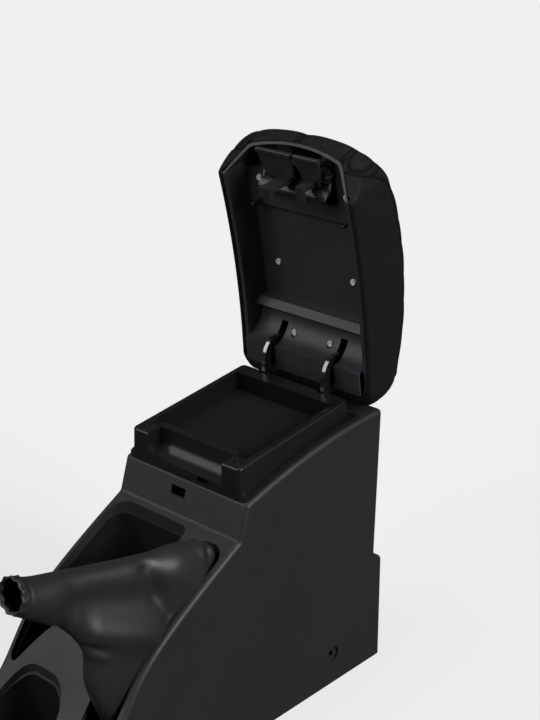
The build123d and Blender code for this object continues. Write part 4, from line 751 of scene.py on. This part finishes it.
# The soft boot of the hand brake, in millimetres of the shared frame.
boot = {
    "around": 150, "rows": 120, "wall": 1.8,
    # Rear upper point and front lower point (Y, Z), middle X, half width, squareness.
    "rings": [((-14, 242), (-179, 98), 69.5, 20.0, 3.4),
              ((-12, 258), (-182, 112), 69.5, 21.0, 3.2),
              ((-27, 272), (-191, 133), 69.6, 22.5, 2.8),
              ((-58, 282), (-203, 168), 69.8, 23.0, 2.4),
              ((-105, 289), (-203, 207), 69.0, 22.0, 2.2),
              ((-160, 300), (-222, 240), 67.5, 20.5, 2.1),
              ((-215, 313), (-255, 267), 66.5, 20.0, 2.0),
              ((-262, 324), (-278, 283), 66.0, 20.0, 2.0),
              ((-286.8, 334.6), (-295.2, 295.4), 66.0, 20.0, 2.0)],
    # Two ends of each fold, how far it stands out and its width.
    "folds": [((88, -215, 280), (92, -118, 246), -9.0, 22),  # hollow under the ridge, on the driver's side
              ((84, -122, 280), (92, -100, 216), -5.0, 10),  # valley in front of the rear swelling
              ((88, -80, 266), (91, -56, 240), 5.0, 22),  # swelling at the rear
              ((84, -196, 234), (94, -126, 206), 7.0, 17),  # swelling under the hollow
              ((74, -226, 300), (72, -237, 252), -2.5, 8),
              ((80, -212, 290), (78, -224, 248), 2.0, 8),
              ((74, -209, 222), (90, -190, 212), -3.5, 5),
              ((75, -203, 208), (90, -186, 200), 2.0, 6),
              ((66, -24, 268), (88, -29, 262), -3.0, 5),
              ((64, -36, 272), (86, -38, 266), 1.5, 6),
              ((48, -100, 280), (47, -150, 210), -4.0, 12),
              ((48, -200, 262), (48, -190, 180), -3.0, 9)],
    # Shares of the way up the boot where folds and neck fade in or out.
    "foldFrom": (0.10, 0.2), "foldTo": (0.86, 0.95), "neckFrom": (0.90, 0.93), "gatherFrom": (0.93, 1.0),
    "drawnAt": 0.935, "drawnWidth": 0.006, "gathers": 11, "gatherDepth": 0.9,
    # The tucked end: how narrow each ring is and how far it moves along the neck.
    "neckCentre": (66, -291, 315), "neckTilt": 12, "tucks": ((0.9, 1.2), (0.86, -9)),
}
turn = np.linspace(0, 2 * np.pi, boot["around"], endpoint=False)


# A boot ring from its rear upper point, its front lower point and its half width: a rounded oblong.
def bootRing(rear, front, centre, half, square):
    e = 2 / square
    c, s = np.cos(turn), np.sin(turn)
    a = np.sign(c) * np.abs(c) ** e
    b = np.sign(s) * np.abs(s) ** e
    mid = (np.array(rear) + np.array(front)) / 2
    arm = (np.array(rear) - np.array(front)) / 2
    return np.stack([centre + half * a, mid[0] + arm[0] * b, mid[1] + arm[1] * b], axis=-1)


# A soft fold: a Gaussian valley or ridge about a line between two points of the boot.
def fold(grid, a, b, depth, width):
    a, b = np.array(a, dtype=float), np.array(b, dtype=float)
    rel, span = grid - a, b - a
    s = np.clip((rel @ span) / (span @ span), 0, 1)
    d = np.linalg.norm(rel - s[..., None] * span, axis=-1)
    return depth * np.exp(-(d / width) ** 2)


bootGrid = throughPoints(np.array([bootRing(*ring) for ring in boot["rings"]]), boot["rows"])
outward = gridNormals(bootGrid)
if np.mean(outward[..., 0] * np.cos(turn)) < 0:
    outward = -outward
upBoot = np.linspace(0, 1, boot["rows"])[:, None]
drop = sum(fold(bootGrid, *line) for line in boot["folds"])
drop *= ramp(upBoot, *boot["foldFrom"]) * (1 - ramp(upBoot, *boot["foldTo"]))
# The neck is gathered below its open end and drawn in by a ring.
gathered = np.cos(boot["gathers"] * turn)[None] * ramp(upBoot, *boot["gatherFrom"])
drawn = np.exp(-((upBoot - boot["drawnAt"]) / boot["drawnWidth"]) ** 2)
drop += ramp(upBoot, *boot["neckFrom"]) * boot["gatherDepth"] * (gathered - drawn)
bootGrid = bootGrid + outward * drop[..., None]
# The end is tucked in: two more rings, narrowed about the neck's centre and moved along its axis.
tilt = np.radians(boot["neckTilt"])
axis = np.array([0, -np.cos(tilt), np.sin(tilt)])
centre = np.array(boot["neckCentre"])
tucked = [centre + (bootGrid[-1:] - centre) * share + axis * move for share, move in boot["tucks"]]
bootGrid = np.concatenate([bootGrid, *tucked])
bootObj = gridMesh("softBoot", bootGrid * mm)
print("boot", len(bootObj.data.vertices))

softPieces = (
    (padObj, "lid", "lid_pad", "pad_leather", "cover", pad["cover"]),
    (bootObj, "console", "handbrake_boot", "boot_leather", "wall", boot["wall"]),
)
for obj, body, node, slotName, layerName, thickness in softPieces:
    obj.data.materials.append(finishes[slotName])
    shell = obj.modifiers.new(layerName, "SOLIDIFY")
    shell.thickness = thickness * mm
    shell.offset = -1
    work = bmesh.new()
    work.from_mesh(obj.data)
    bmesh.ops.recalc_face_normals(work, faces=work.faces)
    work.to_mesh(obj.data)
    work.free()
    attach(obj, body)
    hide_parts(node)

# Pale floor: the camera sees it glow, other rays see it dim, and under the console its glow is cut out as a
# painted shadow.
floorLook = {"half": 6, "level": -0.0005, "shade": 0.22, "glow": 0.690, "bounce": 0.10,
             "dark": (0.101, 0.286), "shadowShift": (0.0, 0.02), "shadowEdge": 0.003}
edge = floorLook["half"]
floorCorners = [(edge * a, edge * b, floorLook["level"]) for a, b in ((-1, -1), (1, -1), (1, 1), (-1, 1))]
floorMesh = bpy.data.meshes.new("floor")
floorMesh.from_pydata(floorCorners, [], [(0, 1, 2, 3)])
floor = bpy.data.objects.new("floor", floorMesh)
bpy.context.collection.objects.link(floor)
floorMat, floorTree, floorSurface, floorAt = startMaterial("paleFloor", 1.0, shine=0.0)
toCamera = floorTree.nodes.new("ShaderNodeLightPath").outputs["Is Camera Ray"]
seenFloor = blendColour(floorTree, toCamera, (floorLook["bounce"],) * 3, (floorLook["shade"],) * 3)
link(floorTree, seenFloor, floorSurface.inputs["Base Color"])
floorAxes = floorTree.nodes.new("ShaderNodeSeparateXYZ")
link(floorTree, floorAt, floorAxes.inputs[0])
# Painted shadow: the console's footprint, with a soft edge, loses its glow, so the floor seen through the
# openings stays dark.
outsideShadow = []
for k in (0, 1):
    place = mathNode(floorTree, "ADD", floorAxes.outputs[k], floorLook["shadowShift"][k])
    past = mathNode(floorTree, "SUBTRACT", mathNode(floorTree, "ABSOLUTE", place), floorLook["dark"][k])
    outsideShadow.append(remap(floorTree, past, -floorLook["shadowEdge"], 0.0))
clear = product(floorTree, mathNode(floorTree, "MAXIMUM", *outsideShadow), toCamera)
glow = blendColour(floorTree, clear, (0.0, 0.0, 0.0), (floorLook["glow"],) * 3)
link(floorTree, glow, floorSurface.inputs["Emission Color"])
floorSurface.inputs["Emission Strength"].default_value = 1.0
floor.data.materials.append(floorMat)

worldLook = {"light": (0.06, 0.06, 0.064), "seen": (0.855, 0.855, 0.855)}
world = bpy.data.worlds.new("studio")
bpy.context.scene.world = world
world.use_nodes = True
tree = world.node_tree
back = tree.nodes["Background"]
path = tree.nodes.new("ShaderNodeLightPath")
seen = blendColour(tree, path.outputs["Is Camera Ray"], worldLook["light"], worldLook["seen"])
link(tree, seen, back.inputs["Color"])
back.inputs["Strength"].default_value = 1.0


# Parallel light from a direction, softened by a wide angle.
def softSun(name, direction, strength, angle):
    data = bpy.data.lights.new(name, "SUN")
    data.energy = strength
    data.angle = math.radians(angle)
    obj = bpy.data.objects.new(name, data)
    obj.rotation_euler = Vector(direction).to_track_quat("-Z", "Y").to_euler()
    bpy.context.collection.objects.link(obj)


# Direction, strength and angle of each sun.
suns = {
    "keyTop": ((0.10, -0.10, -1.0), 0.45, 40),
    "frontSoft": ((0.15, 0.80, -0.62), 0.72, 35),
    "rightFill": ((-1.0, -0.08, -0.55), 2.5, 25),
}
for name, (direction, strength, angle) in suns.items():
    softSun(name, direction, strength, angle)
# A row of narrow suns at the left draws lines of light along the glossy edges.
glint = {"tilts": (12, 22, 32, 42, 52, 62), "across": 0.63, "reach": 0.777, "strength": 0.10, "angle": 9}
for k, degrees in enumerate(glint["tilts"]):
    lean = math.radians(degrees)
    direction = (glint["across"], glint["reach"] * math.cos(lean), -glint["reach"] * math.sin(lean))
    softSun("edgeGlint" + str(k), direction, glint["strength"], glint["angle"])
print("floor and lights ready")

photoView = {"azimuth": 42.34, "elevation": 21.77, "lens": 75.303, "sensor": 36,
             "place": (1.13754, -1.08310, 1.09031)}
azimuth, elevation = math.radians(photoView["azimuth"]), math.radians(photoView["elevation"])
outwards = math.cos(elevation)
backward = Vector((math.sin(azimuth) * outwards, -math.cos(azimuth) * outwards, math.sin(elevation)))
cameraData = bpy.data.cameras.new("photoCamera")
cameraData.lens = photoView["lens"]
cameraData.sensor_width = photoView["sensor"]
cameraData.sensor_fit = "AUTO"
camera = bpy.data.objects.new("photoCamera", cameraData)
camera.location = photoView["place"]
camera.rotation_euler = (-backward).to_track_quat("-Z", "Y").to_euler()
bpy.context.collection.objects.link(camera)
bpy.context.scene.camera = camera
bpy.context.scene.view_settings.view_transform = "Standard"
